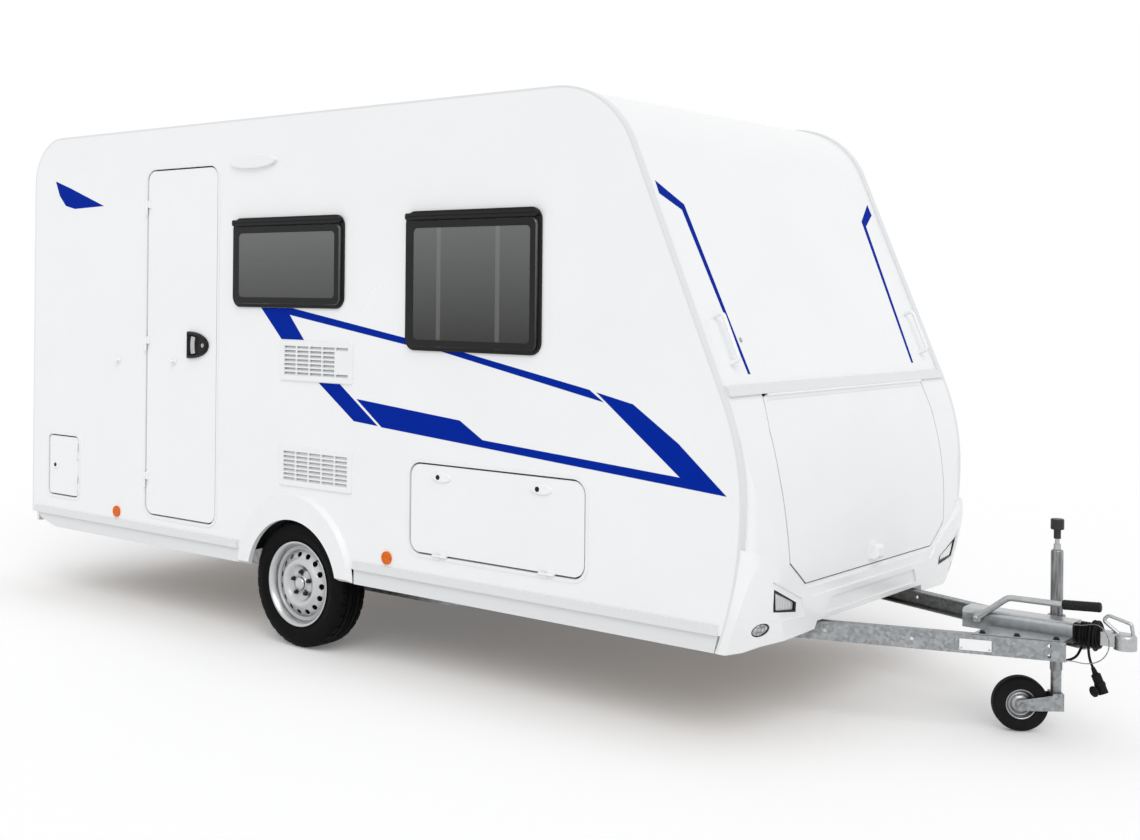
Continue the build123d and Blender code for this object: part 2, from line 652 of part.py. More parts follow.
# Grab handles, rear lamps, rear panel and roof light
grip_path = [(0, 0, 0), (GRIP_OUT, 0, 0), (GRIP_OUT, 0, GRIP_L), (0, 0, GRIP_L)]
grip = tube_along(grip_path, [GRIP_BEND, GRIP_BEND], GRIP_R)
front_grip_x = NOSE_X - NOSE_R + (NOSE_R - TRIM) / cos(radians(SLOPE))
front_grip_x -= (FRONT_GRIP_Z - NOSE_Z) * tan(radians(SLOPE))
front_grip = Pos(front_grip_x, RIGHT + FRONT_GRIP_IN, FRONT_GRIP_Z) * Rot(0, -SLOPE, 0) * grip
rear_grip = Pos(REAR_X + TRIM, RIGHT + REAR_GRIP_IN, REAR_GRIP_Z) * Rot(0, 0, 180) * grip
grab_handles = Compound(children=[both(front_grip), both(rear_grip)])
lamp_in0, lamp_in1, lamp_z0, lamp_z1 = REAR_LAMP
lamp_x = REAR_X + TRIM - REAR_LAMP_OUT
rear_lamp = block(lamp_x, REAR_X + TRIM, RIGHT + lamp_in0, RIGHT + lamp_in1, lamp_z0, lamp_z1)
rear_lamp = fillet(rear_lamp.faces().sort_by(Axis.X)[0].edges(), REAR_LAMP_OUT / 3)
for third in (1, 2):
    z = lamp_z0 + third * (lamp_z1 - lamp_z0) / 3
    rear_lamp -= slab(-FAR, lamp_x + LENS_GROOVE, z - LENS_GROOVE, z + LENS_GROOVE)
rear_lamps = both(rear_lamp)
panel_half = HALF_W - TRIM_W - SKIRT_IN
rear_panel = block(REAR_X + TRIM - REAR_PANEL_T, REAR_X + TRIM, -panel_half, panel_half, *REAR_PANEL)
rear_panel = fillet(rear_panel.faces().sort_by(Axis.X)[0].edges(), REAR_PANEL_T / 2)
recess_half, recess_z0, recess_z1 = PLATE_RECESS
recess_x = REAR_X + TRIM - REAR_PANEL_T + RECESS
rear_panel -= block(-FAR, recess_x, -recess_half, recess_half, recess_z0, recess_z1)
light_x0, light_x1, light_y = ROOF_LIGHT
roof_light = block(light_x0, light_x1, -light_y, light_y, ROOF_Z - TRIM, ROOF_Z - TRIM + ROOF_LIGHT_H)
roof_light = fillet(roof_light.edges().filter_by(Axis.Z), ROOF_LIGHT_H)
roof_light = fillet(roof_light.faces().sort_by(Axis.Z)[-1].edges(), ROOF_LIGHT_H / 3)

# Chassis rails, deepest at the axle, and cross members
rail_points = ((-2100, 360), (-1300, 340), (-520, 240), (620, 240), (1400, 340), (BEND_X, BEAM_LOW))
rail_face = side_shape(rail_points + ((BEND_X, SILL_Z), (rail_points[0][0], SILL_Z)))
rail = pull(rail_face, -RAIL_Y, -RAIL_Y + FLANGE)
web_cut = Pos(0, STEEL, STEEL) * pull(rail_face, -RAIL_Y, -RAIL_Y + FLANGE)
rail -= web_cut & slab(-FAR, FAR, 0, SILL_Z - STEEL)
axle_gap = AXLE_SIZE + 2 * RUN_GAP
rail -= Pos(AXLE_X, 0, AXLE_Z) * Box(axle_gap, FAR, axle_gap)
chassis_rails = both(rail)
cross_y = RAIL_Y - STEEL
cross_members = []
for x in CROSS_X:
    cross_members.append(block(x - CROSS_W / 2, x + CROSS_W / 2, -cross_y, cross_y, CROSS_LOW, SILL_Z - STEEL))

# Axle tube with its trailing arms and stubs
arm_y = RAIL_Y + ARM_OUT + ARM_T / 2
stub_y = HALF_W - TYRE_IN - DISH - PROUD
axle = Pos(AXLE_X, 0, AXLE_Z) * Box(AXLE_SIZE, 2 * (RAIL_Y + ARM_OUT), AXLE_SIZE)
arm_points = ((AXLE_X, AXLE_Z + 50), (AXLE_X, AXLE_Z - 50), (0, WHEEL_R - 34), (0, WHEEL_R + 34))
arm = pull(side_shape(arm_points), -ARM_T / 2, ARM_T / 2)
arm += disc(AXLE_X, AXLE_Z, 52, -ARM_T / 2, ARM_T / 2)
arm += disc(0, WHEEL_R, 36, -ARM_T / 2, ARM_T / 2)
for side in (-1, 1):
    axle += Pos(0, side * arm_y, 0) * arm
    axle += disc(0, WHEEL_R, STUB_R, *sorted((side * arm_y, side * stub_y)))

# Corner steadies folded up under the floor
corner_steadies = []
for pivot_x, foot_at, out in STEADIES:
    steady_y = RAIL_Y + out
    steady = block(*sorted((pivot_x, foot_at)), steady_y, steady_y + STEADY_W, SILL_Z - STEADY_H, SILL_Z)
    pad_y = steady_y + STEADY_W / 2
    pad = Pos(foot_at, pad_y, SILL_Z - STEADY_H - LEAF_T / 2) * Box(STEADY_PLATE, STEADY_PLATE, LEAF_T)
    corner_steadies.append(both(steady + pad))

# Drawbar beams
run_x = BEAM_END[0] - BEND_X
run_y = BEAM_Y - BEAM_END[1]
beam_angle = degrees(atan2(run_y, run_x))
beam_long = sqrt(run_x ** 2 + run_y ** 2)
beam = block(-2 * FLANGE, beam_long, 0, FLANGE, BEAM_LOW, BEAM_TOP)
beam -= block(-FAR, FAR, STEEL, FAR, BEAM_LOW + STEEL, BEAM_TOP - STEEL)
for along, up in BEAM_HOLES:
    beam -= disc(along, BEAM_LOW + up, BEAM_HOLE_R, -1, STEEL + 1)
beam = Pos(BEND_X, -BEAM_Y, 0) * Rot(0, 0, beam_angle) * beam
beam -= slab(-FAR, BEND_X, 0, FAR)
drawbar_beams = both(beam)


def beam_y(x):
    return BEAM_Y - (x - BEND_X) * run_y / run_x


# Overrun housing with its plate across the beams, open below, and the lead's clip
hx0, hx1 = HOUSING
plate_points = [(x, beam_y(x) - PLATE_LAP) for x in (PLATE_X, hx1)]
plate_points += [(x, -y) for x, y in reversed(plate_points)]
plate_face = make_face(Polyline([(x, y, 0) for x, y in plate_points], close=True))
hood = block(hx0, hx1, -HOUSING_Y, HOUSING_Y, HOUSING_LOW, HOUSING_TOP)
hood = fillet(hood.edges().filter_by(Axis.X).group_by(Axis.Z)[-1], HOUSING_Y / 3)
overrun_housing = hood + rise(plate_face, BEAM_TOP, BEAM_TOP + STEEL)
hollow_y = HOUSING_Y - HOUSING_T
overrun_housing -= block(hx0 + HOUSING_T, hx1 - DOOR_GAP, -hollow_y, hollow_y, 0, HOUSING_TOP - HOUSING_T)
overrun_housing -= bar(SHAFT_Z, SHAFT_R + RUN_GAP, hx1 - WALL, hx1 + WALL)
overrun_housing -= post(LEG_X, LEG_Y, LEG_R + LEG_WALL, 0, FAR)
clip_y = (CLIP_Y - CLIP_W / 2, CLIP_Y + CLIP_W / 2)
overrun_housing += block(CLIP_X - CLIP_W, CLIP_X, *clip_y, CLIP_Z - CLIP_W / 2, BEAM_TOP)

# Bellows and coupling head
bellows_bore = bar(SHAFT_Z, SHAFT_R + RUN_GAP, hx1 - 1, hx1 + FAR)
bellows = bar(SHAFT_Z, BELLOWS_R, hx1, hx1 + BELLOWS_L) - bellows_bore
fold_pitch = BELLOWS_L / BELLOWS_FOLDS
for fold in range(BELLOWS_FOLDS):
    x = hx1 + (fold + 0.5) * fold_pitch
    groove = bar(SHAFT_Z, BELLOWS_R + 1, x - PIN_R / 2, x + PIN_R / 2)
    bellows -= groove - bar(SHAFT_Z, BELLOWS_R - PIN_R, x - PIN_R, x + PIN_R)
head = bar(SHAFT_Z, SHAFT_R, hx0 + GRIP_OUT, HEAD_X)
head += block(hx1 + BELLOWS_L + SKIRT_IN, HEAD_X, -HEAD_Y, HEAD_Y, HEAD_LOW + DOOR_GAP, HEAD_LOW + HEAD_H)
dome = post(HEAD_X, 0, HEAD_R, HEAD_LOW, HEAD_LOW + HEAD_H)
head += fillet(dome.edges().sort_by(Axis.Z)[-1:], HEAD_H / 4)
head -= post(HEAD_X, 0, BALL_R, HEAD_LOW - 1, HEAD_LOW + BALL_DEPTH)
coupling_head = head + tube_along(LEVER, LEVER_BENDS, LEVER_R)

# Handbrake lever on the near side of the housing
handbrake = tube_along(BRAKE, BRAKE_BENDS, BRAKE_R)
pivot_at = BRAKE[0]
handbrake += disc(pivot_at[0], pivot_at[2], 2 * DOOR_GAP, pivot_at[1] - TRIM, -HOUSING_Y)
grip_way = Vector(*BRAKE[3]) - Vector(*BRAKE[2])
grip_middle = Vector(*BRAKE[2]) + grip_way.normalized() * (PROUD + BRAKE_GRIP_L / 2)
handbrake += Plane(origin=grip_middle, z_dir=grip_way) * Cylinder(BRAKE_GRIP_R, BRAKE_GRIP_L)

# Nose wheel: clamp, tube, crank, fork, rim and tyre
leg_clamp = post(LEG_X, LEG_Y, LEG_R + CLAMP_WALL, *CLAMP)
leg_clamp += block(LEG_X - LEAF_W, LEG_X + LEAF_W, HOUSING_Y, LEG_Y, CLAMP[0], HOUSING_TOP - FORK_X)
leg_clamp -= post(LEG_X, LEG_Y, LEG_R, 0, FAR)
leg_tube = post(LEG_X, LEG_Y, LEG_R, LEG_LOW, LEG_TOP)
leg_tube = fillet(leg_tube.edges().sort_by(Axis.Z)[-1:], CRANK_R)
leg_tube -= post(LEG_X, LEG_Y, LEG_R - LEG_WALL, 0, LEG_TOP - CLAMP_WALL - LEG_WALL)
knob = post(LEG_X, LEG_Y, KNOB_R, *KNOB)
leg_crank = post(LEG_X, LEG_Y, CRANK_R, LEG_TOP, NECK_Z) + post(LEG_X, LEG_Y, NECK_R, NECK_Z, KNOB[0])
leg_crank += post(LEG_X, LEG_Y, NECK_R, LEG_TOP, LEG_TOP + FORK_X)
leg_crank += fillet(knob.edges().filter_by(GeomType.CIRCLE), CRANK_R / 2)
fork = post(0, 0, LEG_R - LEG_WALL - RUN_GAP, FORK_LOW, LEG_TOP - STEADY_PLATE)
fork += block(-FORK_X, FORK_X, -FORK_Y, FORK_Y, FORK_LOW, FORK_TOP)
cheek_points = ((FORK_X, FORK_TOP), (FORK_X, FORK_LOW))
cheek_points += ((-TRAIL, NOSE_WHEEL_R - FORK_X), (-TRAIL, NOSE_WHEEL_R + FORK_X))
cheek = pull(side_shape(cheek_points), FORK_Y - FORK_T, FORK_Y)
cheek += disc(-TRAIL, NOSE_WHEEL_R, FORK_X, FORK_Y - FORK_T, FORK_Y)
fork += cheek
fork += mirror(cheek, about=Plane.XZ)
fork += disc(-TRAIL, NOSE_WHEEL_R, NOSE_AXLE_R, -FORK_Y - FORK_T, FORK_Y + FORK_T)
half_nose = NOSE_WHEEL_W / 2
bore = disc(-TRAIL, NOSE_WHEEL_R, NOSE_AXLE_R + RUN_GAP, -FAR, FAR)
nose_rim = disc(-TRAIL, NOSE_WHEEL_R, NOSE_RIM_R, BOX_T - half_nose, half_nose - BOX_T) - bore
dish = disc(-TRAIL, NOSE_WHEEL_R, NOSE_RIM_R - TRIM, DOOR_GAP, FAR)
dish -= disc(-TRAIL, NOSE_WHEEL_R, 2 * TRIM, 0, FAR)
nose_rim -= both(dish)
nose_tyre = disc(-TRAIL, NOSE_WHEEL_R, NOSE_WHEEL_R, -half_nose, half_nose)
nose_tyre = fillet(nose_tyre.edges().filter_by(GeomType.CIRCLE), 0.6 * half_nose)
nose_tyre -= disc(-TRAIL, NOSE_WHEEL_R, NOSE_RIM_R, -FAR, FAR)
turned = Pos(LEG_X, LEG_Y, 0) * Rot(0, 0, SWIVEL)
leg_fork = turned * fork
nose_rim = turned * nose_rim
nose_tyre = turned * nose_tyre


# Road wheels, drawn with the axis on Y and the outer face to the right
def turn(points):
    face = make_face(Polyline([(r, y, 0) for r, y in points], close=True))
    return Pos(0, 0, WHEEL_R) * revolve(face, axis=Axis.Y)


# columns: radius, distance in from the tyre's outer face; the inner half is its mirror image
tyre_half = ((BEAD_R, 18.0), (228.0, 6.0), (254.0, 0.0), (284.0, 4.0), (300.0, 13.0))
tyre_half += ((WHEEL_R - 3, 25.0), (WHEEL_R, 42.0))
tyre_y = RIGHT + TYRE_IN
tyre_points = [(r, tyre_y + inward) for r, inward in tyre_half]
tyre_points += [(r, tyre_y + TYRE_W - inward) for r, inward in reversed(tyre_half)]
right_tyre = turn(tyre_points)
lip_y = tyre_y + RIM_IN
far_y = lip_y + TYRE_W - 2 * RIM_IN
barrel_points = [(RIM_R, lip_y), (RIM_R, lip_y + BOX_T), (BEAD_R, lip_y + BOX_T), (BEAD_R, far_y - BOX_T)]
barrel_points += [(RIM_R, far_y - BOX_T), (RIM_R, far_y), (BARREL_R, far_y), (BARREL_R, lip_y)]
right_rim = turn(barrel_points)
disc_y = tyre_y + DISH
bore_r = STUB_R + RUN_GAP
# columns: radius, distance in from the disc's hub face
disc_front = ((bore_r, 0.0), (85.0, 0.0), (HOLE_RING_R - 44, -14.0))
disc_front += ((HOLE_RING_R - 2, -14.0), (BARREL_R + 1, 12.0))
disc_points = [(r, disc_y + inward) for r, inward in disc_front]
disc_points += [(r, disc_y + inward + TRIM) for r, inward in reversed(disc_front)]
plate_disc = turn(disc_points)
for number in range(HOLES):
    angle = radians(360.0 / HOLES * number)
    hole_x = HOLE_RING_R * cos(angle)
    hole_z = WHEEL_R + HOLE_RING_R * sin(angle)
    plate_disc -= disc(hole_x, hole_z, HOLE_R, disc_y - DISH, disc_y + DISH)
drum_y = disc_y + TRIM
drum_points = [(bore_r, drum_y), (DRUM_R, drum_y), (DRUM_R, drum_y + 60)]
drum_points += [(DRUM_R / 2, drum_y + 66), (bore_r, drum_y + 66)]
right_rim += plate_disc
right_rim += turn(drum_points)
right_rim += disc(0, WHEEL_R, HUB_CAP_R, disc_y - 2 * DOOR_GAP, disc_y)
left_rim = mirror(right_rim, about=Plane.XZ)
left_tyre = mirror(right_tyre, about=Plane.XZ)

# Electric lead from the clip under the housing to its coil, and from there to the hanging plug
lead_points = [(CLIP_X, CLIP_Y, CLIP_Z), (3270, CLIP_Y, CLIP_Z), (3304, -94, 338), (3338, -80, 331)]
lead_points += [(3370, -62, 338), (3396, -44, 358), (3414, -30, 386)]
lead_radii = bend_radii(lead_points)
plug_line = Vector(45, 0, -102).normalized()
plug_top = Vector(3456, -58, 322)
tail_start = plug_top - plug_line * 26
tail_points = [(3436, -34, 398), (3439, -50, 374), tuple(tail_start), tuple(plug_top)]
tail_radii = bend_radii(tail_points)
lead_run = tube_along(lead_points, lead_radii, LEAD_R)
lead_tail = tube_along(tail_points, tail_radii, LEAD_R)
lead = Compound(children=[lead_run, lead_tail])
coil_x = (hx1 + DOOR_GAP, hx1 + BELLOWS_L - PROUD)
lead_coil = bar(SHAFT_Z, COIL_R, *coil_x) - bar(SHAFT_Z, BELLOWS_R + RUN_GAP, hx1, hx1 + FAR)
# columns: radius, distance along the plug
plug_profile = ((0, 0), (7, 0), (11, 24), (18, 28), (18, 60), (21, 62), (21, 74), (19, 76), (19, 104), (0, 104))
plug_face = make_face(Polyline([(r, 0, z) for r, z in plug_profile], close=True))
lead_plug = Plane(origin=plug_top, z_dir=plug_line) * revolve(plug_face, axis=Axis.Z)

# Breakaway cable from the housing's front round to the end of the right beam
beam_way = Vector(run_x, run_y, 0).normalized()
beam_side = Vector(-run_y, run_x, 0).normalized()
cable_end = Vector(BEAM_END[0], -BEAM_END[1], BEAM_LOW + STEEL / 2) + beam_side * (FLANGE / 2)
cable_near = cable_end + beam_way * 30
cable_points = [(hx1, -46, 472), (hx1 + 34, -46, 472), (3446, -58, 486), (3480, -68, 490), (3508, -76, 470)]
cable_points += [(3524, -80, 436), (3522, -82, 398), (3502, -86, 364), (3470, -92, 344), (3434, -104, 340)]
cable_points += [tuple(cable_near), tuple(cable_end)]
cable_radii = bend_radii(cable_points)
breakaway_cable = tube_along(cable_points, cable_radii, CABLE_R)

PARTS = {
    "floor": floor,
    "right_wall": right_wall,
    "left_wall": left_wall,
    "roof": roof,
    "rear_wall": rear_wall,
    "front_upper": front_upper,
    "front_lower": front_lower,
    "locker_lid": locker_lid,
    "bumper": bumper,
    "edge_trims": edge_trims,
    "front_rail": front_rail,
    "locker_bulkhead": locker_bulkhead,
    "lower_rails": lower_rails,
    "skirts": skirts,
    "arch_trims": arch_trims,
    "wheel_boxes": wheel_boxes,
    "door_frame": door_frame,
    "entrance_door": entrance_door,
    "door_handle": door_handle,
    "locker_frame": locker_frame,
    "locker_flap": locker_flap,
    "hatch_frame": hatch_frame,
    "service_hatch": service_hatch,
    "window_frames": Compound(children=window_frames),
    "window_panes": Compound(children=window_panes),
    "vents": Compound(children=vents),
    "awning_light": awning_light,
    "reflectors": Compound(children=reflectors),
    "front_lamps": Compound(children=front_lamps),
    "low_lamps": Compound(children=low_lamps),
    "grab_handles": grab_handles,
    "rear_lamps": rear_lamps,
    "rear_panel": rear_panel,
    "roof_light": roof_light,
    "chassis_rails": chassis_rails,
    "cross_members": Compound(children=cross_members),
    "axle": axle,
    "corner_steadies": Compound(children=corner_steadies),
    "drawbar_beams": drawbar_beams,
    "overrun_housing": overrun_housing,
    "bellows": bellows,
    "coupling_head": coupling_head,
    "handbrake": handbrake,
    "leg_clamp": leg_clamp,
    "leg_tube": leg_tube,
    "leg_crank": leg_crank,
    "leg_fork": leg_fork,
    "nose_rim": nose_rim,
    "nose_tyre": nose_tyre,
    "right_rim": right_rim,
    "right_tyre": right_tyre,
    "left_rim": left_rim,
    "left_tyre": left_tyre,
    "lead": lead,
    "lead_coil": lead_coil,
    "lead_plug": lead_plug,
    "breakaway_cable": breakaway_cable,
}

os.makedirs("parts", exist_ok=True)
for name, piece in PARTS.items():
    export_step(Pos(-X_MID, 0, 0) * piece, "parts/" + name + ".step")
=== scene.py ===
import bmesh
import bpy
from math import cos, pi, radians, sin, tan
from mathutils import Matrix, Vector


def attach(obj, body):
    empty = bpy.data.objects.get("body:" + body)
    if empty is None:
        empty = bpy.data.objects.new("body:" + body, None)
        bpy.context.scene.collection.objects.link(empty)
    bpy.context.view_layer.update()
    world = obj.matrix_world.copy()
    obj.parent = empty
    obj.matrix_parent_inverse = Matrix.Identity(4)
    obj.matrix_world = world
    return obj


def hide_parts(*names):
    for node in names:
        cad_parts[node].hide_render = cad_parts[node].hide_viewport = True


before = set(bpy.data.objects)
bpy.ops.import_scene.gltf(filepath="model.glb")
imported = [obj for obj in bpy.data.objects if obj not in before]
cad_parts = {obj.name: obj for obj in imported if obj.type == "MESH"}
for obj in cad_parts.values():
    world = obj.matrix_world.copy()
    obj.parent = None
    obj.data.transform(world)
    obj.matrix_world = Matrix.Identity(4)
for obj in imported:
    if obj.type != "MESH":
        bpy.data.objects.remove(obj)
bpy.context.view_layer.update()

# Camera: eye height, about six metres off the front right corner, as the photograph was taken.
# The focal length and the image centre are in pixels; the shift puts the horizon where the photograph has it.
origin_x = 646.0
photo_w, photo_h = 1140, 840
focal, centre_across, centre_down = 1462.21, 484.05, 293.31


def at(x, y, z):
    # a point of the part's own drawing, in millimetres from the axle, as metres in the row frame
    return Vector(((x - origin_x) / 1000, y / 1000, z / 1000))


def put_in_scene(name, data):
    made = bpy.data.objects.new(name, data)
    bpy.context.scene.collection.objects.link(made)
    return made


turn, roll = radians(40.3184), radians(0.5481)
forward = Vector((-sin(turn), cos(turn), 0))
level = Vector((cos(turn), sin(turn), 0))
across = level * cos(roll) + Vector((0, 0, 1)) * sin(roll)
upward = Vector((0, 0, 1)) * cos(roll) - level * sin(roll)
camera = put_in_scene("camera", bpy.data.cameras.new("camera"))
sensor_w = 36.0
camera.data.sensor_width = sensor_w
camera.data.lens = focal / photo_w * sensor_w
camera.data.shift_x = (photo_w / 2 - centre_across) / photo_w
camera.data.shift_y = (centre_down - photo_h / 2) / photo_w
camera.data.clip_end = 200.0
eye = at(5300.5, -5872.2, 1738.2)
camera.matrix_world = Matrix.Translation(eye) @ Matrix((across, upward, -forward)).transposed().to_4x4()
bpy.context.scene.camera = camera


# Electric lead: a round black rubber cable, 10 mm thick, from a clip under the drawbar plate.
# It is wound round the bellows for storage, and its plug hangs from the last turn.
def srgb(code):
    parts = [int(code[i:i + 2], 16) / 255 for i in (1, 3, 5)]
    linear = [c / 12.92 if c <= 0.04045 else ((c + 0.055) / 1.055) ** 2.4 for c in parts]
    return (*linear, 1.0)


def fill_sockets(node, sockets):
    # each socket takes a value, or a link from another node's output
    for name, value in sockets.items():
        if isinstance(value, bpy.types.NodeSocket):
            node.id_data.links.new(value, node.inputs[name])
        else:
            node.inputs[name].default_value = value


def add_node(tree, kind, sockets, ramp=None, **settings):
    # ramp gives the colour at each of two places on a colour ramp
    made = tree.nodes.new("ShaderNode" + kind)
    for name, value in settings.items():
        setattr(made, name, value)
    for stop, (where, code) in enumerate((ramp or {}).items()):
        made.color_ramp.elements[stop].position = where
        made.color_ramp.elements[stop].color = srgb(code)
    fill_sockets(made, sockets)
    return made


def start_material(name, sockets):
    # gives the material, its tree and shader, and the place on the piece that patterns are laid out by
    material = bpy.data.materials.new(name)
    material.use_nodes = True
    tree = material.node_tree
    shader = tree.nodes["Principled BSDF"]
    fill_sockets(shader, sockets)
    return material, tree, shader, add_node(tree, "TexCoord", {}).outputs["Object"]


def per_mm(size):
    # texture scale at which one feature of a pattern is this many millimetres wide
    return 1000.0 / size


# Moulded synthetic rubber: nearly black, dull, with a faint grey bloom and a fine pebbled skin.
rubber, tree, shader, place = start_material("moulded_rubber", {
    "Roughness": 0.6, "IOR": 1.52, "Specular IOR Level": 0.12})
bloom = add_node(tree, "TexNoise", {"Vector": place, "Scale": per_mm(45), "Detail": 4.0})
tone = add_node(tree, "ValToRGB", {"Fac": bloom.outputs["Fac"]}, ramp={0: "#0c0c0d", 1: "#1b1b1c"})
pebble = add_node(tree, "TexNoise", {"Vector": place, "Scale": per_mm(1.5)})
skin = add_node(tree, "Bump", {"Height": pebble.outputs["Fac"], "Strength": 0.25, "Distance": 0.0003})
fill_sockets(shader, {"Base Color": tone.outputs["Color"], "Normal": skin.outputs["Normal"]})

lead_d = 0.010
coil_x, coil_z = 3392, 432
coil_steps, coil_turns, outer_turns = 16, 6, 1.75
inner_r, outer_r, lead_in = 45.0, 56.0, 15
pitch, pitch_back = 11.8, 13
lead_route = [(3236, -100, 352), (3270, -100, 352), (3304, -94, 338), (3338, -80, 331), (3368, -58, 334),
              (3388, -32, 347)]
for step in range(int((coil_turns + outer_turns) * coil_steps) + 1):
    turns = step / coil_steps
    angle = radians(360 * turns - 90)
    if turns <= coil_turns:
        # the lead comes in on to the bellows over the first quarter turn
        radius = inner_r + lead_in * max(0.0, 1 - 4 * turns)
        x = coil_x + pitch * turns
    else:
        # a second layer goes back over the first
        back = turns - coil_turns
        radius = inner_r + (outer_r - inner_r) * min(1.0, 4 * back)
        x = coil_x + pitch * coil_turns - pitch_back * back
    lead_route.append((x, radius * cos(angle), coil_z + radius * sin(angle)))
lead_route += [(3439, -58, 406), (3440, -58, 377), (3445.5, -58, 345.8), (3456, -58, 322)]


def round_line(name, route, diameter, material):
    curve = bpy.data.curves.new(name, "CURVE")
    curve.dimensions = "3D"
    line = curve.splines.new("NURBS")
    line.points.add(len(route) - 1)
    for point, (x, y, z) in zip(line.points, route):
        point.co = (*at(x, y, z), 1.0)
    line.order_u = 3
    line.use_endpoint_u = True
    line.resolution_u = 6
    curve.bevel_depth = diameter / 2
    curve.bevel_resolution = 4
    curve.use_fill_caps = True
    curve.materials.append(material)
    made = put_in_scene(name, curve)
    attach(made, "caravan")
    return made


def finish_with(material, *nodes):
    for name in nodes:
        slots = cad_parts[name].data.materials
        slots.clear()
        slots.append(material)


lead = round_line("electric_lead", lead_route, lead_d, rubber)
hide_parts("lead", "lead_coil")
finish_with(rubber, "lead_plug", "bellows", "nose_tyre")


# Breakaway cable: thin galvanised wire rope in a clear sleeve, from the housing to the right beam.
# It pulls the brake on if the coupling ever comes off the ball.
def bands_per_mm(half_pitch):
    # wave texture scale at which a band and the gap beside it are each about this many millimetres wide
    return per_mm(half_pitch) / (2 * 3.14)


wire_rope, tree, shader, place = start_material("sleeved_wire_rope", {
    "Metallic": 0.8, "Roughness": 0.38, "Coat Weight": 0.6})
lay = add_node(tree, "TexWave", {"Vector": place, "Scale": bands_per_mm(3), "Distortion": 1.0})
strand = add_node(tree, "ValToRGB", {"Fac": lay.outputs["Fac"]}, ramp={0: "#4a4c4e", 1: "#9da0a3"})
fill_sockets(shader, {"Base Color": strand.outputs["Color"]})
cable_d = 0.004
cable_route = [(3378, -46, 472), (3412, -46, 472), (3446, -58, 486), (3480, -68, 490), (3508, -76, 470),
               (3524, -80, 436), (3522, -82, 398), (3502, -86, 364), (3470, -92, 344), (3434, -104, 340),
               (3406.9, -118.9, 347.5), (3378.6, -128.8, 347.5)]
cable = round_line("breakaway_cable_rope", cable_route, cable_d, wire_rope)
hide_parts("breakaway_cable")

# Side walls, roof, rear wall and front panel: glass-reinforced polyester skins on a foam core,
# with a white gel coat. The coat is glossy, with a very slight waviness from the laminate.
gel_coat, tree, shader, place = start_material("white_gel_coat", {
    "IOR": 1.5, "Coat Weight": 0.35, "Coat Roughness": 0.06})
shade = add_node(tree, "TexNoise", {"Vector": place, "Scale": per_mm(420), "Detail": 3.0})
white = add_node(tree, "ValToRGB", {"Fac": shade.outputs["Fac"]}, ramp={0: "#f1f2f3", 1: "#f6f7f8"})
gloss = add_node(tree, "MapRange", {"Value": shade.outputs["Fac"], "To Min": 0.2, "To Max": 0.3})
wave = add_node(tree, "TexNoise", {"Vector": place, "Scale": per_mm(60)})
waviness = add_node(tree, "Bump", {"Height": wave.outputs["Fac"], "Strength": 0.06, "Distance": 0.001})
fill_sockets(shader, {"Base Color": white.outputs["Color"], "Roughness": gloss.outputs["Result"],
                      "Normal": waviness.outputs["Normal"]})
finish_with(gel_coat, "right_wall", "left_wall", "roof", "rear_wall", "front_upper", "entrance_door",
            "locker_flap", "service_hatch")

# Front lower moulding, locker lid, bumper, wheel-arch trims, door frames and vents: white ABS,
# vacuum formed or injection moulded. It is a touch softer in gloss than the walls, with a fine grain.
abs_white, tree, shader, place = start_material("white_moulded_abs", {
    "IOR": 1.53, "Coat Weight": 0.2, "Coat Roughness": 0.12})
shade = add_node(tree, "TexNoise", {"Vector": place, "Scale": per_mm(260), "Detail": 3.0})
white = add_node(tree, "ValToRGB", {"Fac": shade.outputs["Fac"]}, ramp={0: "#eeeff0", 1: "#f4f5f6"})
gloss = add_node(tree, "MapRange", {"Value": shade.outputs["Fac"], "To Min": 0.3, "To Max": 0.38})
grain = add_node(tree, "TexNoise", {"Vector": place, "Scale": per_mm(4)})
grained = add_node(tree, "Bump", {"Height": grain.outputs["Fac"], "Strength": 0.05, "Distance": 0.0004})
fill_sockets(shader, {"Base Color": white.outputs["Color"], "Roughness": gloss.outputs["Result"],
                      "Normal": grained.outputs["Normal"]})
finish_with(abs_white, "front_lower", "locker_lid", "bumper", "arch_trims", "door_frame", "locker_frame",
            "hatch_frame", "vents", "awning_light", "rear_panel", "grab_handles")

# Edge trims, front rail, lower rails and skirts: extruded aluminium, white lacquered.
# The lacquer is coloured a little greyer on the sharp outer edges, with fine draw lines.
lacquer, tree, shader, place = start_material("white_lacquered_aluminium", {
    "IOR": 1.5, "Roughness": 0.3, "Coat Weight": 0.3})
lines = add_node(tree, "TexWave", {"Vector": place, "Scale": bands_per_mm(9), "Distortion": 0.4},
                 bands_direction="Z")
outer_edges = add_node(tree, "NewGeometry", {})
edge = add_node(tree, "ValToRGB", {"Fac": outer_edges.outputs["Pointiness"]}, ramp={0.46: "#f3f4f4", 0.56: "#e2e4e6"})
ridges = add_node(tree, "Bump", {"Height": lines.outputs["Fac"], "Strength": 0.05, "Distance": 0.0004})
fill_sockets(shader, {"Base Color": edge.outputs["Color"], "Normal": ridges.outputs["Normal"]})
finish_with(lacquer, "edge_trims", "front_rail", "lower_rails", "skirts")

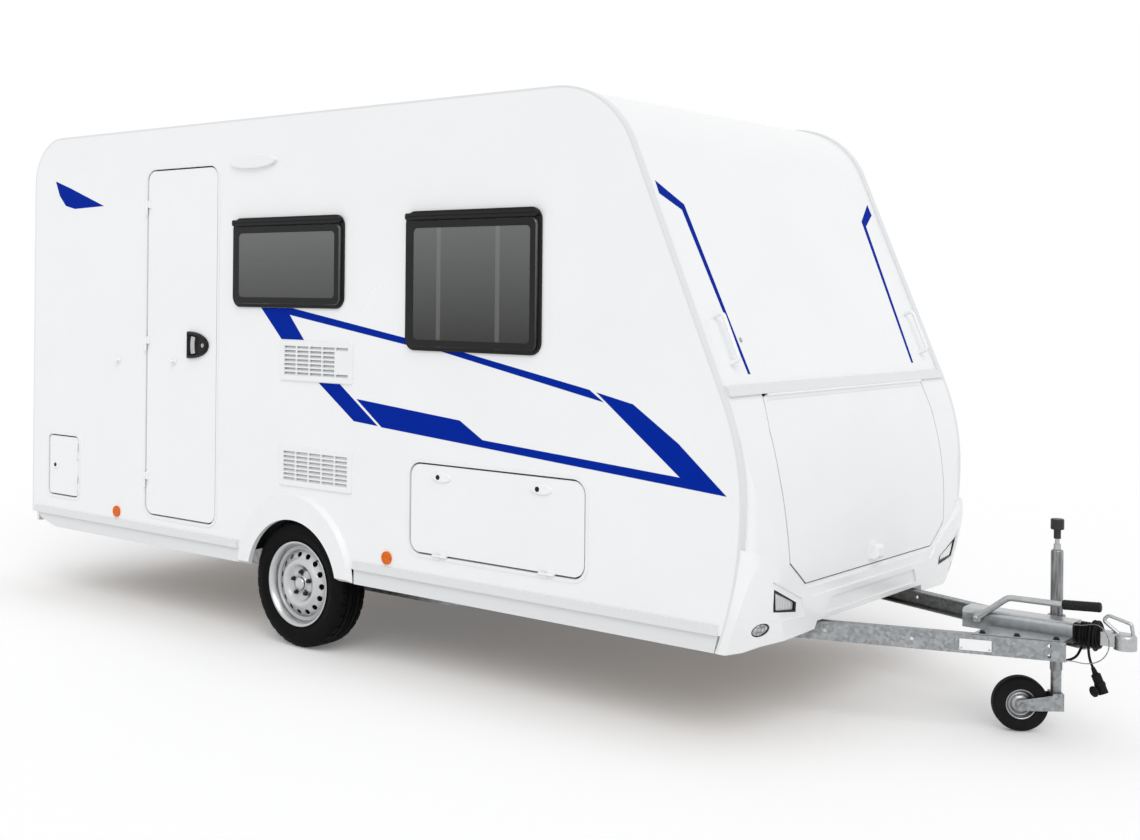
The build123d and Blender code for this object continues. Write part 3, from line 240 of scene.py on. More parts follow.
# Stripes: cut blue vinyl film, stuck on the right wall and on the front panel, with plain outlines.
# Vinyl has an even colour and a soft gloss; it stands off the wall by its own thickness.
vinyl, tree, shader, place = start_material("blue_vinyl_film", {
    "IOR": 1.52, "Roughness": 0.6, "Specular IOR Level": 0.03})
shade = add_node(tree, "TexNoise", {"Vector": place, "Scale": per_mm(300)})
blue = add_node(tree, "ValToRGB", {"Fac": shade.outputs["Fac"]}, ramp={0: "#012496", 1: "#022b9e"})
fill_sockets(shader, {"Base Color": blue.outputs["Color"]})
film = 0.8
wall_y = 1036.0
front_slope = radians(23.0403)
front_out = (cos(front_slope), 0, sin(front_slope))
nose_x, nose_z, nose_r = 1430.0, 930.0, 1040.0


def closed_mesh(name, points, faces):
    mesh = bpy.data.meshes.new(name)
    mesh.from_pydata([tuple(p) for p in points], [], faces)
    shape = bmesh.new()
    shape.from_mesh(mesh)
    bmesh.ops.recalc_face_normals(shape, faces=shape.faces)
    shape.to_mesh(mesh)
    shape.free()
    return mesh


def add_piece(name, points, faces, material, body, smooth=False):
    mesh = closed_mesh(name, points, faces)
    for face in mesh.polygons:
        face.use_smooth = smooth
    mesh.materials.append(material)
    made = put_in_scene(name, mesh)
    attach(made, body)
    return made


def plate(name, corners, place, thick, material, body):
    # a flat cut-out: place turns a corner and a height above the surface into a point
    count = len(corners)
    points = [place(a, b, 0.0) for a, b in corners] + [place(a, b, thick) for a, b in corners]
    faces = [tuple(reversed(range(count))), tuple(range(count, 2 * count))]
    faces += [(i, (i + 1) % count, count + (i + 1) % count, count + i) for i in range(count)]
    return add_piece(name, points, faces, material, body)


def on_right_wall(x, z, out):
    return at(x, -wall_y - out, z)


def on_front_panel(y, z, out):
    # the sloping panel runs on from the rounded nose, whose middle and radius are given above
    x = nose_x + nose_r / cos(front_slope) - (z - nose_z) * tan(front_slope)
    return at(x + out * front_out[0], y, z + out * front_out[2])


side_stripes = {
    "rear_fin": [(-2054, 2360), (-1914, 2317), (-1585, 2204), (-1863, 2196), (-1952, 2216), (-2013, 2275)],
    "bar_upper": [(-259, 1657), (-52, 1657), (-30, 1657), (736, 1531), (736, 1501), (-48, 1624), (56, 1504),
                  (-105, 1504)],
    "bar_lower": [(161, 1302), (307, 1302), (560, 1120), (403, 1133)],
    "line_fore": [(946, 1478), (1080, 1478), (1766, 1348), (1838, 1301)],
    "band_fore": [(419, 1238), (1063, 1178), (1196, 1101), (2205, 1028), (1802, 1339), (1982, 1301),
                  (2196, 1160), (2415, 974), (585, 1116)],
}
for name, corners in side_stripes.items():
    plate("stripe_" + name, corners, on_right_wall, film, vinyl, "caravan")
front_stripes = {
    "right": [(-953, 2199), (-796, 2108), (-752, 1427), (-770, 1427), (-828, 2085), (-956, 2146)],
    "left": [(953, 2199), (812, 2108), (756, 1427), (776, 1427), (841, 2085), (956, 2146)],
}
for side, corners in front_stripes.items():
    plate("stripe_front_" + side, corners, on_front_panel, film, vinyl, "caravan")

# Windows: a black polyurethane frame let into the wall, a hinge strip along its top, and a bulged
# pane of two tinted acrylic skins bonded at the edge, where a dark seal shows through the tint.
frame_black, tree, shader, place = start_material("black_polyurethane_frame", {
    "IOR": 1.5, "Specular IOR Level": 0.25})
grain = add_node(tree, "TexVoronoi", {"Vector": place, "Scale": per_mm(2.5)})
shade = add_node(tree, "TexNoise", {"Vector": place, "Scale": per_mm(80)})
black = add_node(tree, "ValToRGB", {"Fac": shade.outputs["Fac"]}, ramp={0: "#0b0b0c", 1: "#151516"})
gloss = add_node(tree, "MapRange", {"Value": shade.outputs["Fac"], "To Min": 0.38, "To Max": 0.5})
grained = add_node(tree, "Bump", {"Height": grain.outputs["Distance"], "Strength": 0.12, "Distance": 0.0003})
fill_sockets(shader, {"Base Color": black.outputs["Color"], "Roughness": gloss.outputs["Result"],
                      "Normal": grained.outputs["Normal"]})
finish_with(frame_black, "window_frames", "wheel_boxes")

# Tinted acrylic: smoke grey, polished, slightly uneven from being blown to shape. The tint is made
# paler towards the top.
acrylic, tree, shader, place = start_material("smoke_acrylic", {
    "IOR": 1.49, "Roughness": 0.05, "Transmission Weight": 0.5})
height = add_node(tree, "SeparateXYZ", {"Vector": place})
lift = add_node(tree, "MapRange", {"Value": height.outputs["Z"], "From Min": 1.5, "From Max": 2.05})
smoke = add_node(tree, "ValToRGB", {"Fac": lift.outputs["Result"]}, ramp={0: "#232522", 1: "#868988"})
# the blind's two rails behind the large pane show through as paler upright bands
pane_middle, rail_aside, rail_reach = 0.474, 0.17, 0.012
from_middle = add_node(tree, "Math", {0: height.outputs["X"], 1: pane_middle}, operation="SUBTRACT")
aside = add_node(tree, "Math", {0: from_middle.outputs["Value"]}, operation="ABSOLUTE")
rail_near = add_node(tree, "Math", {0: aside.outputs["Value"], 1: rail_aside, 2: rail_reach},
                     operation="COMPARE")
rail_faint = add_node(tree, "Math", {0: rail_near.outputs["Value"], 1: 0.3}, operation="MULTIPLY")
paler = add_node(tree, "MixRGB", {"Fac": rail_faint.outputs["Value"], "Color1": smoke.outputs["Color"],
                                  "Color2": srgb("#b9b8b2")})
blown = add_node(tree, "TexNoise", {"Vector": place, "Scale": per_mm(140)})
uneven = add_node(tree, "Bump", {"Height": blown.outputs["Fac"], "Strength": 0.1, "Distance": 0.004})
fill_sockets(shader, {"Base Color": paler.outputs["Color"], "Normal": uneven.outputs["Normal"]})
finish_with(acrylic, "window_panes")


def rounded(x0, x1, z0, z1, radius, steps=6):
    corners = []
    for cx, cz, first in ((x1, z1, 0), (x0, z1, 90), (x0, z0, 180), (x1, z0, 270)):
        inward_x = cx - radius if cx == x1 else cx + radius
        inward_z = cz - radius if cz == z1 else cz + radius
        for step in range(steps + 1):
            angle = radians(first + 90 * step / steps)
            corners.append((inward_x + radius * cos(angle), inward_z + radius * sin(angle)))
    return corners


def rim_plate(name, outer, inner, place, low, high, material, body, slot):
    # a flat ring between two outlines with the same number of corners
    count = len(outer)
    points = [place(a, b, h) for h in (low, high) for ring in (outer, inner) for a, b in ring]
    faces = []
    for i in range(count):
        j = (i + 1) % count
        faces.append((i, count + i, count + j, j))
        faces.append((2 * count + i, 2 * count + j, 3 * count + j, 3 * count + i))
        faces.append((i, j, 2 * count + j, 2 * count + i))
        faces.append((count + i, 3 * count + i, 3 * count + j, count + j))
    return add_piece(name, points, faces, material, body)


side_names = {-1: "right", 1: "left"}
windows = ((-466, 333, 1658, 2105), (736, 1516, 1478, 2106))
frame_w, seal_edge, border_thick = 34, 58, 0.8
pane_out, strip_out, strip_down, strip_in = 24.1, 28.0, 25, 22
for number, (x0, x1, z0, z1) in enumerate(windows):
    for side in (-1, 1):
        mark = "%d_%s" % (number + 1, side_names[side])

        def on_side(x, z, out, side=side):
            return at(x, side * (wall_y + out), z)

        inner = (x0 + frame_w, x1 - frame_w, z0 + frame_w, z1 - frame_w)
        seal_in = (x0 + seal_edge, x1 - seal_edge, z0 + seal_edge, z1 - seal_edge - 8)
        rim_plate("pane_seal_" + mark, rounded(*inner, 14), rounded(*seal_in, 34), on_side, 4, 9, frame_black,
                  "caravan", "black_plastic")
        band_out = rounded(x0 + 20, x1 - 20, z0 + 20, z1 - 47, 27)
        band_in = rounded(x0 + 62, x1 - 48, z0 + 50, z1 - 78, 22)
        rim_plate("pane_border_" + mark, band_out, band_in, on_side, pane_out, pane_out + border_thick,
                  frame_black, "caravan", "black_plastic")
        for end in (x0 + 120, x1 - 120):
            stay = [(end - 45, z0 + 60), (end + 45, z0 + 60), (end + 38, z0 + 78), (end - 38, z0 + 78)]
            plate("pane_catch_%s_%d" % (mark, end), stay, on_side, 4, frame_black, "caravan")
        strip_z = z1 - strip_down
        groove = [(x0 + strip_in, strip_z - 2), (x1 - strip_in, strip_z - 2), (x1 - strip_in, strip_z + 2),
                  (x0 + strip_in, strip_z + 2)]

        def on_strip(x, z, out, side=side):
            return at(x, side * (wall_y + strip_out + out), z)

        plate("hinge_strip_bead_" + mark, groove, on_strip, 1.2, rubber, "caravan")

# Blind rails inside the large window: slim extrusions in cream, screwed to the wall inside. They show as
# pale upright strips through the tint, with faint lines across them from the pleated blind.
blind_cream, tree, shader, place = start_material("cream_blind_rail", {"Roughness": 0.55, "IOR": 1.5})
pleat = add_node(tree, "TexWave", {"Vector": place, "Scale": bands_per_mm(18)}, bands_direction="Z")
cream = add_node(tree, "ValToRGB", {"Fac": pleat.outputs["Fac"]}, ramp={0: "#cfcbbd", 1: "#e6e2d6"})
fill_sockets(shader, {"Base Color": cream.outputs["Color"]})
rail_half, rail_low, rail_high, rail_y = 13, 1500, 2085, -1000.0
for x in (950, 1290):
    strip = [(x - rail_half, rail_low), (x + rail_half, rail_low), (x + rail_half, rail_high),
             (x - rail_half, rail_high)]
    plate("blind_rail_%d" % x, strip, lambda a, b, out: at(a, rail_y + out, b), 6, blind_cream, "caravan")

# Vent louvres: sloping slats behind the two grilles, seven to a vent, that let air through and keep the
# rain out. They are moulded with the grille, in the same white ABS.
louvre_rows, louvre_high, louvre_foot = 7, 148.0, 24
for name, low in (("lower", 791.4), ("upper", 1305.0)):
    points, faces = [], []
    for row in range(louvre_rows):
        z = low + louvre_foot + row * louvre_high / louvre_rows
        first = len(points)
        for x in (-78, 373):
            for rise, out in ((1, 1), (4, 1), (23, -14), (20, -14)):
                points.append(on_right_wall(x, z + rise, out))
        quads = ((0, 1, 2, 3), (7, 6, 5, 4), (0, 4, 5, 1), (1, 5, 6, 2), (2, 6, 7, 3), (3, 7, 4, 0))
        faces += [tuple(first + i for i in quad) for quad in quads]
    add_piece("vent_louvres_" + name, points, faces, abs_white, "caravan")

# Side marker reflectors: round amber acrylic discs, glued to the lower rails. They are moulded with small
# prisms, and the amber is painted brighter in the middle of each prism: a painted glint.
amber, tree, shader, place = start_material("amber_acrylic_lens", {
    "IOR": 1.49, "Roughness": 0.25, "Specular IOR Level": 0.2})
prism = add_node(tree, "TexVoronoi", {"Vector": place, "Scale": per_mm(6)})
amber_and_painted_glint = add_node(tree, "ValToRGB", {"Fac": prism.outputs["Distance"]}, ramp={0: "#f27a10", 1: "#cc5204"})
facet = add_node(tree, "Bump", {"Height": prism.outputs["Distance"], "Strength": 0.4, "Distance": 0.001})
fill_sockets(shader, {"Base Color": amber_and_painted_glint.outputs["Color"], "Normal": facet.outputs["Normal"]})
finish_with(amber, "reflectors")

# Front lock: a small turned cylinder with a key slot ring, pushed into a hole in the front panel beside the
# right grab handle. Zinc-plated steel is a bright, slightly clouded grey, shinier in some places than others.
zinc, tree, shader, place = start_material("zinc_plated_steel", {"Metallic": 1.0})
cloud = add_node(tree, "TexNoise", {"Vector": place, "Scale": per_mm(12), "Detail": 5.0})
plating = add_node(tree, "ValToRGB", {"Fac": cloud.outputs["Fac"]}, ramp={0: "#a3a5a6", 1: "#c9cbcc"})
gloss = add_node(tree, "MapRange", {"Value": cloud.outputs["Fac"], "To Min": 0.25, "To Max": 0.42})
fill_sockets(shader, {"Base Color": plating.outputs["Color"], "Roughness": gloss.outputs["Result"]})


def lathe(name, profile, steps, centre, outward, material, body):
    # a turned piece: profile is radius and height in millimetres along outward from centre
    aim = Matrix.Translation(centre) @ Vector(outward).to_track_quat("Z", "Y").to_matrix().to_4x4()
    points, faces = [], []
    for radius, height in profile:
        for step in range(steps):
            angle = 2 * pi * step / steps
            points.append(aim @ (Vector((radius * cos(angle), radius * sin(angle), height)) / 1000))
    for row in range(len(profile) - 1):
        for step in range(steps):
            after = (step + 1) % steps
            faces.append((row * steps + step, row * steps + after, (row + 1) * steps + after,
                          (row + 1) * steps + step))
    faces.append(tuple(reversed(range(steps))))
    faces.append(tuple(range((len(profile) - 1) * steps, len(profile) * steps)))
    return add_piece(name, points, faces, material, body, smooth=steps > 8)


lock_face = ((11, 0), (11, 1.6), (9.5, 2.4), (6, 2.4), (5.2, 1.2), (2.2, 1.2), (1.8, 0.4))
lathe("front_lock", lock_face, 28, on_front_panel(-734, 1561, 0), front_out, zinc, "caravan")

# Door lock and grab: a D-shaped black nylon shell with a dished face, a bright pull bar and a lock cylinder.
# It is moulded hollow and screwed through the entrance door from inside.
nylon, tree, shader, place = start_material("black_moulded_nylon", {
    "IOR": 1.53, "Roughness": 0.42, "Specular IOR Level": 0.2})
grain = add_node(tree, "TexNoise", {"Vector": place, "Scale": per_mm(1.8)})
black = add_node(tree, "ValToRGB", {"Fac": grain.outputs["Fac"]}, ramp={0: "#0b0b0c", 1: "#161617"})
grained = add_node(tree, "Bump", {"Height": grain.outputs["Fac"], "Strength": 0.2, "Distance": 0.0003})
fill_sockets(shader, {"Base Color": black.outputs["Color"], "Normal": grained.outputs["Normal"]})
handle_x0, handle_z, handle_half, handle_flat, handle_long = -828.0, 1454.0, 70.0, 14, 152


def d_outline(shrink):
    # flat on the left, half an ellipse on the right
    corners = [(handle_x0 + shrink, handle_z + handle_half - shrink),
               (handle_x0 + shrink, handle_z - handle_half + shrink)]
    corners += [(handle_x0 + handle_flat + shrink + (handle_long - 2 * shrink) * sin(radians(a)),
                 handle_z - (handle_half - shrink) * cos(radians(a))) for a in range(0, 181, 9)]
    return corners


levels = ((0.0, 0.0), (0.0, 10.0), (3.0, 16.0), (8.0, 19.5), (16.0, 19.5), (21.0, 12.0), (27.0, 7.0))
rings = [[on_right_wall(x, z, out) for x, z in d_outline(shrink)] for shrink, out in levels]
size = len(rings[0])
faces = [tuple(range(size)), tuple(reversed(range((len(rings) - 1) * size, len(rings) * size)))]
for row in range(len(rings) - 1):
    for i in range(size):
        j = (i + 1) % size
        faces.append((row * size + i, (row + 1) * size + i, (row + 1) * size + j, row * size + j))
handle = add_piece("door_handle_shell", [p for ring in rings for p in ring], faces, nylon,
                   "entrance_door")
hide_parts("door_handle")
pull_bar = [(-787, 1500), (-755, 1496), (-759, 1476), (-761, 1454), (-759, 1432), (-755, 1412), (-787, 1408),
            (-792, 1428), (-794, 1454), (-792, 1480)]
plate("door_handle_pull", pull_bar, lambda x, z, out: on_right_wall(x, z, out + 6), 10, zinc,
      "entrance_door")
rightward = (0, -1, 0)
lathe("door_lock", lock_face, 28, on_right_wall(-706, handle_z, 6.5), rightward, zinc, "entrance_door")

# Latch locks: round cylinders in the latches of the side flap and the service hatch, turned by the same key
# as the door's. Their faces are black nylon with a key slot ring.
for x, z, body in ((944, 918, "side_flap"), (1506, 918, "side_flap"), (-2020, 730, "rear_hatch")):
    lathe("latch_lock_%d" % x, lock_face, 28, on_right_wall(x, z, 9), rightward, nylon, body)

# Door seal: a black EPDM strip pressed into the door frame, on the side of the lock. It lies just behind the
# skin and shows as a dark line in the gap, standing in for the gap's shade: a seal and painted shade.
seal = [(-602.5, 590), (-597.5, 590), (-597.5, 2325), (-602.5, 2325)]
plate("door_seal_gap_shade", seal, lambda x, z, out: on_right_wall(x, z, out - 7), 4, rubber, "caravan")

# Door retainer: a catch on the wall and its knob on the door, which snap together when the door is open.
# Both are turned knobs in the white of the mouldings, each held by one screw from behind.
catch = ((17, 0), (17, 4), (13, 6), (9, 8), (9, 18), (12, 21), (12, 25), (8, 28), (0.5, 28.5))
lathe("door_catch", catch, 32, on_right_wall(-1432, 1352, 0), rightward, abs_white, "caravan")
lathe("door_catch_knob", catch, 32, on_right_wall(-944, 1362, 0), rightward, abs_white,
      "entrance_door")

# Front lamps: a clear polycarbonate lens over a chromed bowl, in a black bezel let into the bumper. The lens
# is moulded with upright flutes, along which pale and paler stripes are painted: a painted sheen.
lens, tree, shader, place = start_material("clear_polycarbonate_lens", {
    "IOR": 1.58, "Roughness": 0.05, "Metallic": 0.25, "Coat Weight": 0.8})
flutes = add_node(tree, "TexWave", {"Vector": place, "Scale": bands_per_mm(11)}, bands_direction="Y")
tint = add_node(tree, "ValToRGB", {"Fac": flutes.outputs["Fac"]}, ramp={0: "#d9dcde", 1: "#f0f2f3"})
fluted = add_node(tree, "Bump", {"Height": flutes.outputs["Fac"], "Strength": 0.15, "Distance": 0.001})
fill_sockets(shader, {"Base Color": tint.outputs["Color"], "Normal": fluted.outputs["Normal"]})
finish_with(lens, "front_lamps")

# Low lamps: oval chromed bowls behind a clear cover, screwed into the bumper with a dark gasket ring round
# them. Light and dark patches are painted into the bowl's colour, one to each facet: a painted reflection.
chrome, tree, shader, place = start_material("chromed_lamp_bowl", {
    "Metallic": 1.0, "Roughness": 0.15, "Coat Weight": 0.6})
facets = add_node(tree, "TexVoronoi", {"Vector": place, "Scale": per_mm(16)})
bowl = add_node(tree, "ValToRGB", {"Fac": facets.outputs["Distance"]}, ramp={0: "#d5d7d9", 1: "#55585b"})
facet = add_node(tree, "Bump", {"Height": facets.outputs["Distance"], "Strength": 0.6, "Distance": 0.004})
fill_sockets(shader, {"Base Color": bowl.outputs["Color"], "Normal": facet.outputs["Normal"]})
finish_with(chrome, "low_lamps")

# Lamp bezels and gaskets: thin black nylon rings round the front lamps and the low lamps. They are moulded to
# the bumper's face and clipped on from the front.
bow_x, bow_z, bow_r = 775.0, 700.0, 1747.0
corner_x, corner_y, corner_rise, corner_run = 2490.0, 1018.0, 72.0, 418.0
chin_x, chin_r, chin_out, chin_sweep = 880.0, 1600.0, 15.0, 0.33


def bumper_x(y, z, out):
    # the bumper's face: bowed in section, swept back in plan, and at its corners along the side outline
    span = abs(y)
    bow = bow_x + ((bow_r + out) ** 2 - (z - bow_z) ** 2) ** 0.5
    swept = corner_x + out + (corner_y + out - span) * (corner_rise / (corner_run + out))
    outline = chin_x + (chin_r ** 2 - (nose_z - z) ** 2) ** 0.5
    corner = outline + chin_out + out + chin_sweep * (wall_y - span)
    return min(bow, swept, corner)


lamp_face = [(875, 615), (686, 535), (682, 496), (849, 519)]
for side in (-1, 1):
    outer = [(side * y, z) for y, z in lamp_face]
    mid_y, mid_z = 775 * side, 542
    inner = [(mid_y + (y - mid_y) * 0.84, mid_z + (z - mid_z) * 0.76) for y, z in outer]
    rim_plate("lamp_bezel_" + side_names[side], outer, inner,
              lambda y, z, out: at(bumper_x(y, z, 2.0) + out, y, z), 0.5, 8, nylon, "caravan", "black_plastic")

bowl_y, bowl_z, bowl_long, bowl_high = 898, 454, 44, 27
for side in (-1, 1):
    gasket = [[(side * (bowl_y + size * bowl_long * cos(radians(a))),
                bowl_z + size * bowl_high * sin(radians(a))) for a in range(0, 360, 10)]
              for size in (0.98, 0.84)]
    rim_plate("low_lamp_gasket_" + side_names[side], *gasket,
              lambda y, z, out: at(bumper_x(y, z, 14.0) + out, y, z), 0.2, 3, nylon, "caravan", "black_plastic")

# Lid seal: a black EPDM strip in the gap round the locker lid, pressed on to the moulding's edge. It lies a
# few millimetres behind the skin and darkens the gap, standing in for its shade: a seal and painted shade.
flat_x, flat_y, side_sweep = 2562.0, 600.0, 0.18


def cap_x(y, z):
    # the lower moulding's face: bowed in section, swept back towards the sides
    return min(bow_x + (bow_r ** 2 - (z - bow_z) ** 2) ** 0.5, flat_x - max(abs(y) - flat_y, 0.0) * side_sweep)


lid_edge = [(740, 1330), (764, 1212), (762, 1031), (749, 853), (730, 695), (596, 598)]
seal_way = [(-y, z) for y, z in lid_edge] + [(y, z) for y, z in reversed(lid_edge)]
points, faces = [], []
for y, z in seal_way:
    outward = Vector((0, -1 if y < 0 else 1, -0.7 if z < 700 else 0)).normalized()
    for step, deep in ((1.0, 6.0), (1.0, 14.0), (6.0, 14.0), (6.0, 6.0)):
        points.append(at(cap_x(y, z) - deep, y + outward.y * step, z + outward.z * step))
for row in range(len(seal_way) - 1):
    for i in range(4):
        j = (i + 1) % 4
        faces.append((4 * row + i, 4 * row + j, 4 * row + 4 + j, 4 * row + 4 + i))
faces += [(3, 2, 1, 0), tuple(len(points) - 4 + i for i in range(4))]
add_piece("lid_seal_gap_shade", points, faces, rubber, "caravan")

# Rear lamps: three moulded acrylic lenses in one housing, amber over red over clear, screwed to the rear
# panel. Each lens has one even colour, and small prisms break up its gloss.
rear_lens, tree, shader, place = start_material("three_part_rear_lens", {
    "IOR": 1.49, "Roughness": 0.1, "Coat Weight": 0.7})
height = add_node(tree, "SeparateXYZ", {"Vector": place})
part = add_node(tree, "MapRange", {"Value": height.outputs["Z"], "From Min": 0.58, "From Max": 0.98})
lenses = add_node(tree, "ValToRGB", {"Fac": part.outputs["Result"]},
                  ramp={0: "#d8dadb", 0.333: "#a80f12"})
lenses.color_ramp.interpolation = "CONSTANT"
lenses.color_ramp.elements.new(0.667).color = srgb("#e0700c")
prism = add_node(tree, "TexVoronoi", {"Vector": place, "Scale": per_mm(8)})
facet = add_node(tree, "Bump", {"Height": prism.outputs["Distance"], "Strength": 0.35, "Distance": 0.001})
fill_sockets(shader, {"Base Color": lenses.outputs["Color"], "Normal": facet.outputs["Normal"]})
finish_with(rear_lens, "rear_lamps")

# Roof light: a domed cover over a vent in the roof, drawn from opal acrylic sheet and hinged on its frame.
# It is milky and smooth, with a little dust on it.
opal, tree, shader, place = start_material("opal_acrylic", {
    "IOR": 1.49, "Roughness": 0.22, "Subsurface Weight": 0.15})
dust = add_node(tree, "TexNoise", {"Vector": place, "Scale": per_mm(120), "Detail": 6.0})
milky = add_node(tree, "ValToRGB", {"Fac": dust.outputs["Fac"]}, ramp={0: "#dcdcd8", 1: "#ecebe7"})
fill_sockets(shader, {"Base Color": milky.outputs["Color"]})
finish_with(opal, "roof_light")

# Floor and locker bulkhead: sheets of birch plywood, sealed, glued and screwed to the frame. Long grain lines
# run across the caravan.
ply, tree, shader, place = start_material("sealed_birch_plywood", {"IOR": 1.5, "Roughness": 0.5})
stretch = add_node(tree, "Mapping", {"Vector": place, "Scale": (1.0, 0.08, 1.0)})
grain = add_node(tree, "TexNoise", {"Vector": stretch.outputs["Vector"], "Scale": per_mm(14), "Detail": 8.0})
birch = add_node(tree, "ValToRGB", {"Fac": grain.outputs["Fac"]}, ramp={0: "#7a6045", 1: "#a98c66"})
fill_sockets(shader, {"Base Color": birch.outputs["Color"]})
finish_with(ply, "floor", "locker_bulkhead")

# Chassis, axle, steadies and drawbar: hot-dip galvanised steel. The zinc freezes into spangles
# over a centimetre wide, each a slightly different grey, dulled by weather.
galvanised, tree, shader, place = start_material("hot_dip_galvanised_steel", {"Metallic": 0.85})
spangle = add_node(tree, "TexVoronoi", {"Vector": place, "Scale": per_mm(13), "Randomness": 1.0})
bright = add_node(tree, "SeparateColor", {"Color": spangle.outputs["Color"]})
greys = add_node(tree, "ValToRGB", {"Fac": bright.outputs["Red"]}, ramp={0: "#8a8d8f", 1: "#aaadaf"})
dull = add_node(tree, "MapRange", {"Value": bright.outputs["Green"], "To Min": 0.34, "To Max": 0.55})
rough = add_node(tree, "TexNoise", {"Vector": place, "Scale": per_mm(6)})
runs = add_node(tree, "Bump", {"Height": rough.outputs["Fac"], "Strength": 0.1, "Distance": 0.0006})
# ambient occlusion darkens the corners and the gaps between parts: painted shade
painted_corner_shade = add_node(tree, "AmbientOcclusion", {"Color": greys.outputs["Color"], "Distance": 0.06})
fill_sockets(shader, {"Base Color": painted_corner_shade.outputs["Color"], "Roughness": dull.outputs["Result"],
                      "Normal": runs.outputs["Normal"]})
finish_with(galvanised, "chassis_rails", "cross_members", "axle", "corner_steadies", "drawbar_beams",
            "leg_clamp", "leg_fork")

# Overrun housing: thick steel sheet, folded and welded, zinc plated. It is smoother and brighter than the
# dipped beams, with faint clouds from the plating bath.
plated, tree, shader, place = start_material("zinc_plated_sheet", {"Metallic": 0.9})
cloud = add_node(tree, "TexNoise", {"Vector": place, "Scale": per_mm(25), "Detail": 4.0})
greys = add_node(tree, "ValToRGB", {"Fac": cloud.outputs["Fac"]}, ramp={0: "#a3a6a8", 1: "#ced1d3"})
# ambient occlusion darkens the folds and corners of the housing: painted shade
painted_corner_shade = add_node(tree, "AmbientOcclusion", {"Color": greys.outputs["Color"], "Distance": 0.05})
dull = add_node(tree, "MapRange", {"Value": cloud.outputs["Fac"], "To Min": 0.22, "To Max": 0.42})
fill_sockets(shader, {"Base Color": painted_corner_shade.outputs["Color"], "Roughness": dull.outputs["Result"]})
finish_with(plated, "overrun_housing")

# Nose-wheel tube: drawn steel tube, zinc plated, held by the clamp on the drawbar. Drawing leaves long
# streaks down it, and it has dulled darker.
drawn, tree, shader, place = start_material("drawn_zinc_tube", {"Metallic": 0.9})
stretch = add_node(tree, "Mapping", {"Vector": place, "Scale": (1.0, 1.0, 0.08)})
streak = add_node(tree, "TexNoise", {"Vector": stretch.outputs["Vector"], "Scale": per_mm(9), "Detail": 4.0})
greys = add_node(tree, "ValToRGB", {"Fac": streak.outputs["Fac"]}, ramp={0.3: "#5c5e60", 0.7: "#a5a7a9"})
dull = add_node(tree, "MapRange", {"Value": streak.outputs["Fac"], "To Min": 0.25, "To Max": 0.45})
fill_sockets(shader, {"Base Color": greys.outputs["Color"], "Roughness": dull.outputs["Result"]})
finish_with(drawn, "leg_tube")

# Hexagon bolts with washers through the drawbar plate, and a bare white plate riveted to the right beam.
# The bolts, like the brake drums, are blackened iron: dull and dark, with a coarse cast skin.
iron, tree, shader, place = start_material("blackened_cast_iron", {"Metallic": 0.4, "Roughness": 0.6})
skin = add_node(tree, "TexNoise", {"Vector": place, "Scale": per_mm(3), "Detail": 3.0})
dark = add_node(tree, "ValToRGB", {"Fac": skin.outputs["Fac"]}, ramp={0: "#161617", 1: "#2c2c2d"})
cast = add_node(tree, "Bump", {"Height": skin.outputs["Fac"], "Strength": 0.3, "Distance": 0.0005})
fill_sockets(shader, {"Base Color": dark.outputs["Color"], "Normal": cast.outputs["Normal"]})
bolt = ((14, 0), (14, 2), (10, 2), (10, 2.1), (10, 8.4), (8.6, 10), (0.4, 10))
beam_x, beam_y, beam_long, beam_in = 2036, 620, 1350, 470
plate_top, bolt_in = 425, 26
beam_way = Vector((beam_long, beam_in, 0)).normalized()
beam_out = Vector((beam_way.y, -beam_way.x, 0))
for x in (3090, 3210, 3345):
    for side in (-1, 1):
        edge = beam_y - (x - beam_x) * beam_in / beam_long - bolt_in
        lathe("plate_bolt_%d_%s" % (x, side_names[side]), bolt, 6, at(x, side * edge, plate_top), (0, 0, 1),
              iron, "caravan")


def on_beam(along, z, out):
    start = Vector((beam_x, -beam_y, 0)) + beam_way * along + beam_out * out
    return at(start.x, start.y, z)


plate("beam_plate", rounded(1040, 1160, 358, 402, 4), on_beam, 1.5, abs_white, "caravan")
rivet = ((4, 0), (4, 0.6), (2.5, 1.8), (0.3, 2.1))
for along in (1048, 1152):
    lathe("beam_plate_rivet_%d" % along, rivet, 16, on_beam(along, 366, 1.5), beam_out, zinc,
          "caravan")

# Strain relief: a tapered sleeve over the lead where it leaves the clip under the drawbar plate. It is moulded
# on to the lead, in the same rubber.
sleeve = ((10, 0), (10, 6), (8.4, 8), (7.4, 20), (6.4, 32), (5.2, 40))
lathe("lead_strain_relief", sleeve, 24, at(3236, -100, 352), (1, 0, 0), rubber, "caravan")

# Plug cap: a round flap hinged on the side of the lead's plug, which closes over the contacts of a socket.
# It is moulded in the same rubber as the plug.
plug_line = Vector((45, 0, -102)).normalized()
cap_way = Vector((-0.5, -0.8, -0.22)).normalized()
cap_at = Vector((3456, -58, 322)) + plug_line * 84 + cap_way * 16
flap_cap = ((8, 0), (8, 12), (19, 15), (21, 18), (21, 24), (18, 27), (0.5, 28))
lathe("plug_cap", flap_cap, 32, at(*cap_at), cap_way, rubber, "caravan")

# Coupling head: two steel pressings welded round the ball socket, with a lever on top, bolted to the draw
# shaft. It is zinc plated like the lock faces.
finish_with(zinc, "coupling_head")

